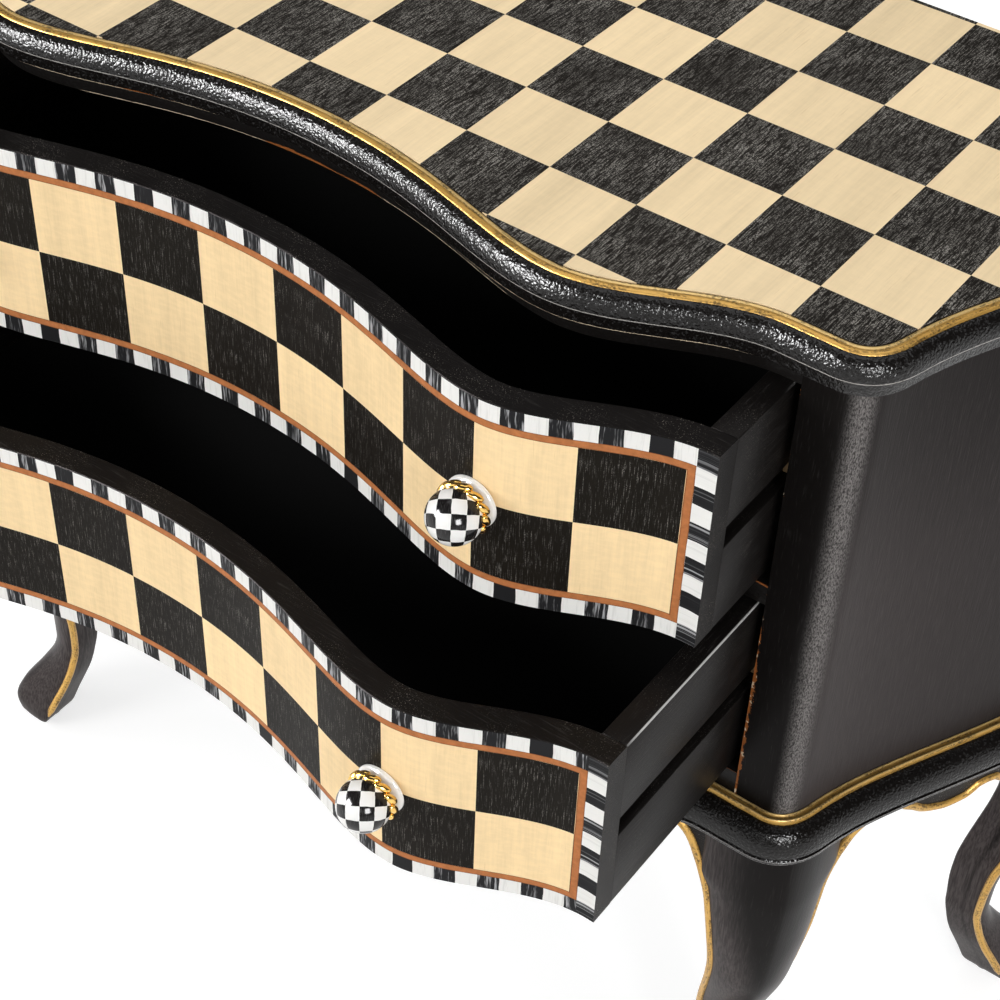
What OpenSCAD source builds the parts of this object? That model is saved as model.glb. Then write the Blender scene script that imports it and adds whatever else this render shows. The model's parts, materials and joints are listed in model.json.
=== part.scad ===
// Two-drawer serpentine commode on cabriole legs, with both drawers partly open.
// Millimetres, +Z up, front towards -Y. The origin is on the floor, under the middle of the whole outline.

/* [Case] */
// Width between the two front corners of the case
front_w = 818; // [790:1:900]
// Width across the back of the case
back_w = 1038; // [1000:1:1100]
// Depth from the front corners to the back
case_d = 354; // [350:1:420]
// How far the two bulges stand in front of the corners
bulge = 43; // [25:1:55]
// How far the middle of the front stands in front of the corners
middle_swell = 3.5; // [0:0.5:12]
// Distance of each bulge from the middle
bulge_x = 218; // [190:1:240]
// Thickness of the side panels
side_t = 18; // [14:1:22]
// Thickness of the back panel
back_t = 8; // [5:1:12]
// How far the back panel is let in from the back
back_inset = 4; // [2:1:10]
// Depth of the front rails
rail_d = 22; // [18:1:28]
// Depth of the corner posts
post_d = 42; // [36:1:50]

/* [Heights] */
// Thickness of the top, with its veneer
top_t = 27; // [22:1:34]
// Height of the rail under the top
top_rail_h = 18.5; // [14:0.5:30]
// Height of the rail between the drawers
divider_h = 17; // [15:0.5:32]
// Height of the rail under the lower drawer
bottom_rail_h = 21.5; // [18:0.5:40]
// Thickness of the base board and its moulding
base_t = 31; // [26:1:36]
// Height of the legs with their glides
leg_h = 428; // [380:1:500]

/* [Top and mouldings] */
// Thickness of the veneer on the top
top_veneer_t = 2; // [1:0.5:3]
// Overhang of the moulded edge beyond the veneer
edge_w = 17; // [14:1:22]
// Width of the gilt bead round the top
bead_w = 8.5; // [6:0.5:10]
// Overhang of the base moulding
base_edge_w = 20.5; // [17:0.5:26]
// Width of the gilt bead on the base moulding
base_bead_w = 7; // [6:0.5:10]

/* [Drawers] */
// Width of each drawer
drawer_w = 712; // [690:1:716]
// Height of each drawer front
drawer_h = 156; // [130:1:175]
// Gap above and below each drawer front
reveal = 5; // [2:0.5:7]
// Gap at each end of a drawer front
side_reveal = 6.5; // [2:0.5:8]
// Depth of each drawer, from its front corners to its back
drawer_d = 310; // [260:1:316]
// Thickness of the drawer fronts with their veneer
front_t = 20; // [16:1:24]
// Thickness of the veneer on the drawer fronts
front_veneer_t = 1.5; // [1:0.5:3]
// Thickness of the drawer sides
drawer_side_t = 18; // [15:1:22]
// Thickness of the drawer backs
drawer_back_t = 15; // [12:1:18]
// Thickness of the drawer bottoms
drawer_bottom_t = 6; // [4:1:9]
// Height of each drawer bottom above the lower edge of the drawer
bottom_rise = 12; // [8:1:20]
// How far the drawer bottom is let into the sides and the back
bottom_let_in = 6; // [3:1:8]
// How far the upper drawer is pulled out
upper_pull = 77; // [0:1:200]
// How far the lower drawer is pulled out
lower_pull = 166; // [0:1:200]
// Full travel of each drawer, from shut to its stop
travel = 220; // [205:1:240]

/* [Runners] */
// Height of the runners
runner_h = 16; // [12:1:22]
// Depth of the groove in the drawer sides
groove_d = 8; // [6:1:10]
// Clearance of a runner in its groove, above and below
runner_gap = 0.5; // [0.3:0.1:1]
// Clearance between the runner's edge and the bottom of the groove
runner_end_gap = 1; // [0.5:0.1:2]
// Thickness of the guide boards that carry the runners
guide_t = 12; // [9:1:16]
// Length of the runners
runner_l = 300; // [260:1:316]
// Radius of the runner screws
screw_r = 2; // [1.5:0.25:2.5]

/* [Knobs] */
// Diameter of the knob ball
knob_d = 36; // [30:1:42]
// Diameter of the knob's flared foot
knob_foot_d = 37; // [32:1:42]
// Distance of the ball's middle from the drawer front
knob_reach = 18; // [14:1:22]
// How far the knobs sit below the middle of the drawer fronts
knob_drop = 3; // [0:1:10]
// Radius of the knob screws
knob_screw_r = 2; // [1.5:0.25:2.5]

/* [Legs and aprons] */
// Half the distance between the two arrises at the knee
knee_half = 51; // [46:1:56]
// Thickness of the glides under the feet
glide_t = 3; // [2:1:6]
// Radius of the glides
glide_r = 11; // [8:1:12]
// Thickness of the aprons
apron_t = 18; // [14:1:22]
// How far the aprons stand proud of the case
apron_proud = 8; // [2:1:12]
// Depth of the apron lobes below the base board
lobe_drop = 40; // [34:1:60]
// Radius of the leg bolts
bolt_r = 3; // [2:0.5:4]

/* [Hidden] */

ebony = [0.09, 0.085, 0.085];
inside_black = [0.05, 0.05, 0.05];
gilt = [0.72, 0.55, 0.22];
maple = [0.91, 0.83, 0.68];
ceramic = [0.92, 0.91, 0.88];
steel = [0.6, 0.6, 0.62];
felt = [0.2, 0.2, 0.2];

// Heights of the stack, from the floor up
leg_top = leg_h;
base_top = leg_top + base_t;
opening_h = drawer_h + 2 * reveal;
lower_opening_z = base_top + bottom_rail_h;
divider_z = lower_opening_z + opening_h;
upper_opening_z = divider_z + divider_h;
top_rail_z = upper_opening_z + opening_h;
slab_z = top_rail_z + top_rail_h;
top_z = slab_z + top_t;
lower_z = lower_opening_z + reveal;
upper_z = upper_opening_z + reveal;

// Depths: the back plane and the line through the front corners, with the whole outline centred on y = 0. The case
// grows past case_d where the drawers or the runners need it
stop_gap = 0.5;
runner_start = 3;
knob_length = knob_reach + knob_d / 2;
rear_stop_t = 14;
rear_gap = 4;
needed_d = max(drawer_d + stop_gap + rear_stop_t, front_t + runner_start + runner_l) + rear_gap + back_t + back_inset;
depth = max(case_d, needed_d);
outline_d = depth + bulge + lower_pull + knob_length;
back_y = outline_d / 2;
front_y = back_y - depth;

// Half widths
half_front = front_w / 2;
half_back = back_w / 2;
half_drawer = drawer_w / 2;
half_opening = half_drawer + side_reveal;
inner_half = half_drawer - drawer_side_t;

// ---- Plan of the case: four curves from the middle of the front to the back, as [x, depth behind the corners] ----
corner_r = 23;
flank_end = half_drawer - 4;
side_lean = 0.25;
corner_depth = 22;
side_run = 97;
side_flat = 150;
middle_curve = [[0, -middle_swell], [bulge_x * 0.5, -middle_swell], [bulge_x * 0.76, -bulge], [bulge_x, -bulge]];
flank_curve = [[bulge_x, -bulge], [bulge_x + (flank_end - bulge_x) * 0.33, -bulge],
               [bulge_x + (flank_end - bulge_x) * 0.64, 0], [flank_end, 0]];
corner_curve = [[half_front - corner_r, 0], [half_front - 0.48 * corner_r, 0],
                [half_front - 14 * side_lean, corner_depth - 14], [half_front, corner_depth]];
side_curve = [[half_front, corner_depth], [half_front + side_run * side_lean, corner_depth + side_run],
              [half_back, depth - side_flat], [half_back, depth]];

function bezier(p, s) =
    pow(1 - s, 3) * p[0] + 3 * s * pow(1 - s, 2) * p[1] + 3 * s * s * (1 - s) * p[2] + pow(s, 3) * p[3];
function run(p, n) = [for (i = [1:n]) bezier(p, i / n)];
function reversed(list) = [for (i = [len(list) - 1:-1:0]) list[i]];
function to_world(p) = [p[0], front_y + p[1]];
function mirrored(p) = [-p[0], p[1]];
// A symmetric path, from its right end round the front to its left end
function both_sides(half) = concat([for (p = reversed(half)) to_world(p)],
                                   [for (i = [1:len(half) - 1]) mirrored(to_world(half[i]))]);

front_half = concat([middle_curve[0]], run(middle_curve, 14), run(flank_curve, 12));
side_half = concat([corner_curve[0]], run(corner_curve, 6), run(side_curve, 14));
plan = both_sides(concat(front_half, side_half));
// The curve of the drawer fronts and rails, out to a given half width
function front_path(half_w) = both_sides(concat(front_half, [[half_w, 0]]));

// Outward normal at a point of a path that runs clockwise, seen from above
function turned(v) = [-v[1], v[0]] / norm(v);
function normal_at(path, i) =
    i == 0 ? turned(path[1] - path[0]) :
    i == len(path) - 1 ? turned(path[i] - path[i - 1]) : turned(path[i + 1] - path[i - 1]);
function offset_point(path, i, u) = path[i] + u * normal_at(path, i);
function offset_path(path, u) = [for (i = [0:len(path) - 1]) offset_point(path, i, u)];
// The end normals of the plan lie along X, so that everything swept along it ends flat at the back
function plan_normal(i) = i == 0 ? [1, 0] : i == len(plan) - 1 ? [-1, 0] : normal_at(plan, i);
function plan_offset(u) = [for (i = [0:len(plan) - 1]) plan[i] + u * plan_normal(i)];

// Y of a path at an x, and |X| of the plan's side at a depth behind the corners
function by_x(path) = reversed(path);
function side_x(depth, u) =
    lookup(depth, [for (i = [len(side_half) - 1:-1:0]) let (q = plan_offset(u)[len(side_half) - 1 - i])
                   [q[1] - front_y, q[0]]]);

// ---- Builders ----
module slab(points, z, h) {
    translate([0, 0, z]) linear_extrude(h) polygon(points);
}

// A board that follows a path, from one offset to another
module curved_board(path, u_out, u_in, z, h) {
    slab(concat(offset_path(path, u_out), reversed(offset_path(path, u_in))), z, h);
}

// A closed profile of [outward, up] points carried along the plan
module moulding(profile, z) {
    n = len(plan);
    k = len(profile);
    points = [for (i = [0:n - 1]) for (q = profile)
              [plan[i][0] + q[0] * plan_normal(i)[0], plan[i][1] + q[0] * plan_normal(i)[1], z + q[1]]];
    skin = [for (i = [0:n - 2]) for (j = [0:k - 1]) let (a = i * k + j, b = i * k + (j + 1) % k)
            each [[a, b, a + k], [b, b + k, a + k]]];
    polyhedron(points, concat(skin, [[for (j = [k - 1:-1:0]) j]], [[for (j = [0:k - 1]) (n - 1) * k + j]]));
}

module both(offset_x) {
    for (side = [-1, 1]) translate([side * offset_x, 0, 0]) children();
}

// ---- Top ----
ovolo_h = 14;
lip_step = 3.4;
bead_depth = 3;

module top_panel() {
    color(ebony) slab(plan, slab_z, top_t - top_veneer_t);
}

module top_veneer() {
    color(maple) slab(plan, top_z - top_veneer_t, top_veneer_t);
}

module top_edge_moulding() {
    ovolo = [for (a = [90:-15:0]) [bead_w + (edge_w - bead_w) * cos(a), -ovolo_h - 1 + ovolo_h * sin(a)]];
    color(ebony) moulding(concat([[0, -top_t], [0, -bead_depth], [bead_w, -bead_depth]], ovolo,
        [[edge_w - lip_step, -ovolo_h - 2.5], [edge_w - lip_step, 1 - top_t], [edge_w - lip_step - 1, -top_t]]), top_z);
}

// A bead with a quirk cut along its inner third
module top_gilt_bead() {
    color(gilt) moulding([[0, -bead_depth], [0, -0.7], [bead_w * 0.2, 0], [bead_w * 0.36, -0.5],
        [bead_w * 0.5, 0], [bead_w * 0.75, -0.2], [bead_w * 0.94, -1], [bead_w, -bead_depth]], top_z);
}

// ---- Case ----
post_side_end = 60;
post_first = len(side_half) - 1;

function side_points(from_depth, u) =
    [for (i = [0:len(side_half) - 1]) let (q = plan_offset(u)[i]) if (q[1] - front_y > from_depth) q];

module side_panel() {
    outer = concat(side_points(post_side_end, 0), [[side_x(post_side_end, 0), front_y + post_side_end]]);
    inner = concat(side_points(post_side_end, -side_t), [[side_x(post_side_end, -side_t), front_y + post_side_end]]);
    slab(concat(outer, reversed(inner)), base_top, slab_z - base_top);
}

module left_side_panel() {
    color(ebony) mirror([1, 0, 0]) side_panel();
}

module right_side_panel() {
    color(ebony) side_panel();
}

module corner_post() {
    outer = [for (i = [0:len(side_half) - 1]) if (plan[i][1] - front_y < post_side_end) plan[i]];
    inner = [[half_opening, front_y], [half_opening, front_y + post_d],
             [side_x(post_side_end, -side_t) - 4, front_y + post_d],
             [side_x(post_side_end, -side_t) - 4, front_y + post_side_end]];
    slab(concat([[side_x(post_side_end, 0), front_y + post_side_end]], outer, inner), base_top, slab_z - base_top);
}

module left_corner_post() {
    color(ebony) mirror([1, 0, 0]) corner_post();
}

module right_corner_post() {
    color(ebony) corner_post();
}

back_screw_grip = 15;
back_screw_z = [base_top + 12, (base_top + slab_z) / 2, slab_z - 12];
back_front_y = back_y - back_inset - back_t;
back_panel_half = side_x(depth - back_inset - back_t, -side_t) - 0.2;

module back_panel() {
    color(ebony) difference() {
        translate([-back_panel_half, back_front_y, base_top]) cube([2 * back_panel_half, back_t, slab_z - base_top]);
        back_holes(screw_r + 0.1);
    }
}

module back_holes(r) {
    for (x = [-1, 1], z = back_screw_z)
        translate([x * (half_opening + guide_t / 2), back_y, z]) rotate([90, 0, 0])
            cylinder(h = back_inset + back_t + back_screw_grip + 5, r = r, $fn = 24);
}

module back_panel_screws() {
    color(steel) for (x = [-1, 1], z = back_screw_z)
        translate([x * (half_opening + guide_t / 2), back_y - back_inset, z]) rotate([90, 0, 0]) {
            cylinder(h = back_t + back_screw_grip, r = screw_r, $fn = 24);
            translate([0, 0, -1.5]) cylinder(h = 1.5, r = 2 * screw_r, $fn = 24);
        }
}

module rail(z, h) {
    curved_board(front_path(half_opening), 0, -rail_d, z, h);
}

module top_rail() {
    color(ebony) rail(top_rail_z, top_rail_h);
}

module divider_rail() {
    color(ebony) rail(divider_z, divider_h);
}

module bottom_rail() {
    color(ebony) rail(base_top, bottom_rail_h);
}

dust_t = 6;
dust_z = divider_z + divider_h - dust_t - 1;

// The panel between the drawers fits the back of the divider rail and the fronts of the guide boards
module dust_panel() {
    rail_back = offset_path(front_path(half_opening), -rail_d);
    color(inside_black) slab(concat([for (p = rail_back) p],
        [[-half_opening, back_front_y], [half_opening, back_front_y]]), dust_z, dust_t);
}

// ---- Runners ----
guide_y = front_y + post_d;
runner_y = front_y + front_t + runner_start;
runner_mid = drawer_h / 2;
runner_reach = side_reveal + groove_d - runner_end_gap;
runner_back = runner_y + runner_l;
runner_screw_y = [guide_y + 20, (guide_y + runner_back) / 2, runner_back - 20];
screw_head_h = 2;

module guide_board() {
    difference() {
        translate([half_opening, guide_y, base_top]) cube([guide_t, back_front_y - guide_y, slab_z - base_top]);
        for (z = [lower_z, upper_z]) runner_holes(z, screw_r + 0.1);
        back_holes(screw_r + 0.1);
    }
}

module runner_holes(z, r) {
    for (y = runner_screw_y)
        translate([half_opening - runner_reach, y, z + runner_mid]) rotate([0, 90, 0])
            cylinder(h = runner_reach + guide_t, r = r, $fn = 24);
}

module left_guide_board() {
    color(inside_black) mirror([1, 0, 0]) guide_board();
}

module right_guide_board() {
    color(inside_black) guide_board();
}

module runner(z) {
    difference() {
        translate([half_opening - runner_reach, runner_y, z + runner_mid - runner_h / 2])
            cube([runner_reach, runner_l, runner_h]);
        runner_holes(z, screw_r + 0.1);
        runner_heads(z, 0.1);
    }
}

module runner_heads(z, gap) {
    for (y = runner_screw_y)
        translate([half_opening - runner_reach, y, z + runner_mid]) rotate([0, 90, 0])
            cylinder(h = screw_head_h + gap, r = 2 * screw_r + gap, $fn = 24);
}

module upper_left_runner() {
    color(maple) mirror([1, 0, 0]) runner(upper_z);
}

module upper_right_runner() {
    color(maple) runner(upper_z);
}

module lower_left_runner() {
    color(maple) mirror([1, 0, 0]) runner(lower_z);
}

module lower_right_runner() {
    color(maple) runner(lower_z);
}

module runner_screws() {
    color(steel) for (m = [0, 1], z = [lower_z, upper_z]) mirror([m, 0, 0]) {
        runner_heads(z, 0);
        for (y = runner_screw_y)
            translate([half_opening - runner_reach, y, z + runner_mid]) rotate([0, 90, 0])
                cylinder(h = runner_reach + guide_t - 1, r = screw_r, $fn = 24);
    }
}

// ---- Stops ----
batten_d = 15;
batten_w = 120;
button_t = 8;
button_catch = 7;
button_rise = reveal + button_catch;
button_w = 30;
button_h = 60;

// Battens that the stop buttons meet when a drawer is fully open
module stop_battens() {
    batten_back = front_y + drawer_d - travel - stop_gap;
    for (level = [[top_rail_z, slab_z], [divider_z, dust_z]])
        color(ebony) translate([-batten_w / 2, batten_back - batten_d, level[0]])
            cube([batten_w, batten_d, level[1] - level[0]]);
}

// Blocks behind the drawer sides that stop a shut drawer
rear_stop_h = 24;
rear_stop_rise = 20;

module rear_stops() {
    color(maple) for (m = [0, 1], z = [lower_z, upper_z]) mirror([m, 0, 0])
        translate([half_opening - drawer_side_t, front_y + drawer_d + stop_gap, z + rear_stop_rise])
            cube([drawer_side_t, rear_stop_t, rear_stop_h]);
}

// ---- Base ----
module base_board() {
    color(ebony) difference() {
        slab(plan, leg_top, base_t);
        leg_bolt_shapes(0.3);
    }
}

base_groove = 1.8;

module base_moulding() {
    shoulder = base_t - 8;
    ovolo = [for (a = [90:-15:0]) [base_bead_w + (base_edge_w - base_bead_w) * cos(a), (shoulder - 3) * (sin(a) - 1) - 3]];
    color(ebony) moulding(concat([[0, -base_t], [0, -bead_depth], [base_bead_w, -bead_depth]], ovolo,
        [[base_edge_w, -shoulder - 1], [base_edge_w - base_groove, -shoulder - 2], [base_edge_w - base_groove, -shoulder - 3.5],
         [base_edge_w, -shoulder - 4.5], [base_edge_w, 1 - base_t], [base_edge_w - 1, -base_t]]), base_top);
}

module base_gilt_bead() {
    crown = [for (a = [180:-30:0]) [base_bead_w / 2 * (1 + cos(a)), bead_depth * 0.9 * sin(a) - 1]];
    color(gilt) moulding(concat([[0, -bead_depth]], crown, [[base_bead_w, -bead_depth]]), base_top);
}

// ---- Aprons ----
// The legs stand under the corners and turn outwards by 45 degrees, so their inner faces lie along X and Y
leg_turn = 45;
leg_top_arris = -38;
front_leg_at = [half_front + 4, front_y + 1];
back_leg_at = [half_back - 11, back_y - 12];
leg_inner = (knee_half - leg_top_arris) * cos(leg_turn);

// Drop of the lower edge below the base board, by the distance from the nearest leg: an ogee up from the leg,
// then a lobe, a cusp, and on the front a long double curve to the middle
leg_drop = 51;
hollow_drop = 15;
cusp_drop = lobe_drop - 9;
cusp_at = 107;
apron_top = leg_top;
front_apron_half = front_leg_at[0] - leg_inner;
side_apron_front = front_leg_at[1] + leg_inner - front_y;
side_apron_back = back_leg_at[1] - leg_inner - front_y;
front_apron_edge = [[0, leg_drop], [6, leg_drop - 14], [11, leg_drop - 24], [16, hollow_drop + 7], [25, hollow_drop],
    [34, hollow_drop], [40, hollow_drop + 6], [47, lobe_drop - 14], [54, lobe_drop - 8], [64, lobe_drop - 3],
    [76, lobe_drop], [89, lobe_drop - 1], [95, lobe_drop - 4], [100, cusp_drop + 1], [cusp_at, cusp_drop],
    [114, cusp_drop + 1], [120, lobe_drop - 3], [132, lobe_drop], [156, lobe_drop - 3], [200, hollow_drop + 11],
    [240, hollow_drop + 8], [280, hollow_drop + 13], [312, lobe_drop - 2], [front_apron_half, lobe_drop + 2]];
side_apron_edge = [for (e = front_apron_edge) if (e[0] <= cusp_at) e];
// The side aprons draw in to meet the legs
apron_draw = 35;

// A board with a shaped lower edge, from stations of [outer point, inner point, drop]
module shaped_board(stations) {
    n = len(stations);
    points = [for (s = stations) each [[s[0][0], s[0][1], apron_top], [s[0][0], s[0][1], apron_top - s[2]],
                                       [s[1][0], s[1][1], apron_top - s[2]], [s[1][0], s[1][1], apron_top]]];
    skin = [for (i = [0:n - 2]) for (j = [0:3]) let (a = 4 * i + j, b = 4 * i + (j + 1) % 4)
            each [[a, a + 4, b], [b, a + 4, b + 4]]];
    polyhedron(points, concat(skin, [[0, 1, 2, 3]], [[for (j = [3:-1:0]) 4 * (n - 1) + j]]));
}

module front_apron() {
    path = front_path(half_opening);
    outer = by_x(offset_path(path, apron_proud));
    inner = by_x(offset_path(path, apron_proud - apron_t));
    steps = 96;
    color(ebony) shaped_board([for (i = [0:steps]) let (x = front_apron_half * (2 * i / steps - 1))
        [[x, lookup(x, outer)], [x, lookup(x, inner)], lookup(front_apron_half - abs(x), front_apron_edge)]]);
}

module right_apron() {
    color(ebony) side_apron();
}

module left_apron() {
    color(ebony) mirror([1, 0, 0]) side_apron();
}

module side_apron() {
    steps = 44;
    span = side_apron_back - side_apron_front;
    shaped_board([for (i = [0:steps]) let (d = span * i / steps, depth = side_apron_front + d,
        near = min(d, span - d), out = lookup(near, [[0, -1], [apron_draw / 2, apron_proud - 2], [apron_draw, apron_proud]]))
        [[side_x(depth, out), front_y + depth], [side_x(depth, out - apron_t), front_y + depth],
         lookup(near * 2 * cusp_at / span, side_apron_edge)]]);
}

back_apron_drop = 40;

module back_apron() {
    half_w = back_leg_at[0] - leg_inner;
    color(ebony) translate([0, back_y - 3, 0]) rotate([90, 0, 0]) linear_extrude(apron_t)
        polygon(concat([[-half_w, apron_top], [-half_w, apron_top - back_apron_drop]],
            [for (i = [0:16]) let (s = i / 16)
             [half_w * (2 * s - 1) * 0.94, apron_top - 0.65 * back_apron_drop - 4 * cos(360 * s)]],
            [[half_w, apron_top - back_apron_drop], [half_w, apron_top]]));
}

// ---- Legs ----
// Sections of a leg, by height: the line through the two arrises and the outer face, both as distances outward
// from the corner, half the width between the arrises, and the half width of the inner corner as a share of it
leg_sections = [
    [0.000, -23.5, -14, 0.42, 0.06], [0.009, -24.6, -8, 0.49, 0.06], [0.023, -26, -1, 0.56, 0.06],
    [0.051, -30, 1, 0.58, 0.06], [0.093, -39, -7, 0.56, 0.06], [0.139, -49.5, -25, 0.52, 0.06],
    [0.186, -57.5, -40, 0.47, 0.06], [0.244, -63, -46, 0.45, 0.06], [0.302, -63.5, -46, 0.48, 0.06],
    [0.371, -61.5, -42, 0.51, 0.06], [0.425, -56, -33, 0.54, 0.06], [0.476, -49, -24, 0.57, 0.06],
    [0.547, -39.5, -12, 0.61, 0.06], [0.601, -35, -6, 0.64, 0.06], [0.689, -33, -1, 0.735, 0.06],
    [0.761, -35, 2, 0.81, 0.06], [0.821, -37, 4, 0.88, 0.06], [0.870, leg_top_arris, 5, 1.00, 0.06],
    [1.000, leg_top_arris, 5, 1.00, 0.06]
];
arc_steps = 10;

// The outer side is round at the foot and squarer at the knee
leg_power = [[0, 1], [0.35, 1.1], [0.75, 1.35], [1, 1.35]];

function leg_ring(s) = let (w = s[3] * knee_half, a = s[1], z = glide_t + s[0] * (leg_top - glide_t),
                            q = lookup(s[0], leg_power))
    concat([[a - w * (1 - s[4]), -w * s[4], z]],
           [for (i = [0:arc_steps]) let (t = -90 + 180 * i / arc_steps)
            [a + (s[2] - a) * pow(max(cos(t), 0), q), w * sign(t) * pow(abs(sin(t)), q), z]],
           [[a - w * (1 - s[4]), w * s[4], z]]);

module leg(at, turn, side) {
    rings = [for (s = leg_sections) leg_ring(s)];
    k = len(rings[0]);
    n = len(rings);
    skin = [for (i = [0:n - 2]) for (j = [0:k - 1]) let (a = i * k + j, b = i * k + (j + 1) % k)
            each [[a, a + k, b], [b, a + k, b + k]]];
    mirror([side < 0 ? 1 : 0, 0, 0]) difference() {
        translate([at[0], at[1], 0]) rotate([0, 0, turn])
            polyhedron([for (r = rings) each r],
                       concat(skin, [[for (j = [0:k - 1]) j]], [[for (j = [k - 1:-1:0]) (n - 1) * k + j]]));
        leg_bolt_shape(at, turn, 0.3);
    }
}

bolt_in_leg = 32;
bolt_head_h = 4;

// A bolt through the base board into a leg, with its head let into the board, or the hole for it with a gap
module leg_bolt_shape(at, turn, gap) {
    translate([at[0], at[1], 0]) rotate([0, 0, turn]) translate([leg_top_arris, 0, leg_top - bolt_in_leg - 2 * gap]) {
        cylinder(h = bolt_in_leg + base_t - 1 + 2 * gap, r = bolt_r + gap, $fn = 24);
        translate([0, 0, bolt_in_leg + base_t - bolt_head_h + (gap > 0 ? gap : 0)])
            cylinder(h = bolt_head_h + 3 * gap, r = 2 * bolt_r + gap, $fn = 24);
    }
}

module leg_bolt_shapes(gap) {
    for (m = [0, 1]) mirror([m, 0, 0]) {
        leg_bolt_shape(front_leg_at, -leg_turn, gap);
        leg_bolt_shape(back_leg_at, leg_turn, gap);
    }
}

module leg_bolts() {
    color(steel) leg_bolt_shapes(0);
}

// The glides sit under the middle of the feet
glide_at = -28;

module foot_glides() {
    color(felt) for (m = [0, 1], place = [[front_leg_at, -leg_turn], [back_leg_at, leg_turn]])
        mirror([m, 0, 0]) translate([place[0][0], place[0][1], 0]) rotate([0, 0, place[1]])
            translate([glide_at, 0, 0]) cylinder(h = glide_t, r = glide_r, $fn = 32);
}

module front_left_leg() {
    color(ebony) leg(front_leg_at, -leg_turn, -1);
}

module front_right_leg() {
    color(ebony) leg(front_leg_at, -leg_turn, 1);
}

module back_left_leg() {
    color(ebony) leg(back_leg_at, leg_turn, -1);
}

module back_right_leg() {
    color(ebony) leg(back_leg_at, leg_turn, 1);
}

// ---- Drawers: each part takes the drawer's height z and pull p ----
drawer_path = front_path(half_drawer);
front_back_face = offset_path(drawer_path, -front_t);
knob_z = drawer_h / 2 - knob_drop;

module knob_holes(z, r) {
    for (side = [-1, 1])
        translate([side * bulge_x, front_y, z + knob_z]) rotate([90, 0, 0])
            translate([0, 0, bulge - front_t - 5]) cylinder(h = front_t + 10, r = r, $fn = 24);
}

module drawer_front(z, p) {
    color(ebony) translate([0, -p, 0]) difference() {
        curved_board(drawer_path, -front_veneer_t, -front_t, z, drawer_h);
        knob_holes(z, knob_screw_r + 0.3);
    }
}

module drawer_front_veneer(z, p) {
    color(maple) translate([0, -p, 0]) difference() {
        curved_board(drawer_path, 0, -front_veneer_t, z, drawer_h);
        knob_holes(z, knob_screw_r + 0.3);
    }
}

module drawer_side(z, p, side) {
    front_end = concat([[half_drawer, lookup(half_drawer, by_x(front_back_face))]],
        [for (q = front_back_face) if (q[0] > inner_half && q[0] < half_drawer) q],
        [[inner_half, lookup(inner_half, by_x(front_back_face))]]);
    rear = front_y + drawer_d;
    color(ebony) translate([0, -p, 0]) mirror([side < 0 ? 1 : 0, 0, 0]) difference() {
        slab(concat(front_end, [[inner_half, rear], [half_drawer, rear]]), z, drawer_h);
        translate([half_drawer - groove_d, front_y, z + runner_mid - runner_h / 2 - runner_gap])
            cube([groove_d + 1, drawer_d + 1, runner_h + 2 * runner_gap]);
        translate([inner_half - 1, front_y, z + bottom_rise])
            cube([bottom_let_in + 1, drawer_d - drawer_back_t + bottom_let_in, drawer_bottom_t]);
    }
}

module drawer_back(z, p) {
    color(ebony) translate([0, -p, 0]) difference() {
        translate([-inner_half, front_y + drawer_d - drawer_back_t, z]) cube([2 * inner_half, drawer_back_t, drawer_h]);
        translate([-inner_half - 1, front_y + drawer_d - drawer_back_t - 1, z + bottom_rise])
            cube([2 * inner_half + 2, bottom_let_in + 1, drawer_bottom_t]);
    }
}

module drawer_bottom(z, p) {
    half_w = inner_half + bottom_let_in;
    rear = front_y + drawer_d - drawer_back_t + bottom_let_in;
    color(inside_black) translate([0, -p, 0]) slab(concat(
        [[half_w, lookup(half_w, by_x(front_back_face))]], [for (q = front_back_face) if (abs(q[0]) < half_w) q],
        [[-half_w, lookup(-half_w, by_x(front_back_face))], [-half_w, rear], [half_w, rear]]),
        z + bottom_rise, drawer_bottom_t);
}

module stop_button(z, p) {
    color(maple) translate([-button_w / 2, front_y + drawer_d - p, z + drawer_h + button_rise - button_h])
        cube([button_w, button_t, button_h]);
}

collar_r = 2.5;
collar_at = 8;
collar_gap = 0.1;
neck_r = 12.8;
cup_y = collar_at + collar_r + collar_gap;

// A ball on a flared foot, turned about the knob's own axis, with a neck for the collar and a blind hole for the screw
module knob(z, p, side) {
    ball_r = knob_d / 2;
    foot_r = knob_foot_d / 2;
    start = asin((knob_reach - cup_y) / ball_r);
    profile = concat([[knob_screw_r + 0.1, 0], [foot_r - 1, 0], [foot_r, 1], [foot_r, 2.5], [foot_r - 1.6, 4.2],
        [neck_r + 1.5, collar_at - collar_r - collar_gap], [neck_r, collar_at - collar_r - collar_gap], [neck_r, cup_y]],
        [for (i = [0:10]) let (a = -start + (start + 90) * i / 10) [max(ball_r * cos(a), 0), knob_reach + ball_r * sin(a)]],
        [[0, knob_reach], [knob_screw_r + 0.1, knob_reach]]);
    color(ceramic) translate([side * bulge_x, front_y - bulge - p, z + knob_z]) rotate([90, 0, 0])
        rotate_extrude($fn = 48) polygon(profile);
}

module knob_collars(z, p) {
    color(gilt) for (side = [-1, 1])
        translate([side * bulge_x, front_y - bulge - p, z + knob_z]) rotate([90, 0, 0])
            rotate_extrude($fn = 48) translate([neck_r + collar_gap + collar_r, collar_at]) circle(collar_r, $fn = 16);
}

// The heads stand off the curved back of the front by a hair
screw_stand = 0.25;

module knob_screws(z, p) {
    color(steel) for (side = [-1, 1])
        translate([side * bulge_x, front_y - bulge + front_t + screw_stand - p, z + knob_z]) rotate([90, 0, 0]) {
            cylinder(h = front_t + screw_stand + knob_reach - 1, r = knob_screw_r, $fn = 24);
            translate([0, 0, -2.5]) cylinder(h = 2.5, r = 2 * knob_screw_r, $fn = 24);
        }
}

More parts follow.
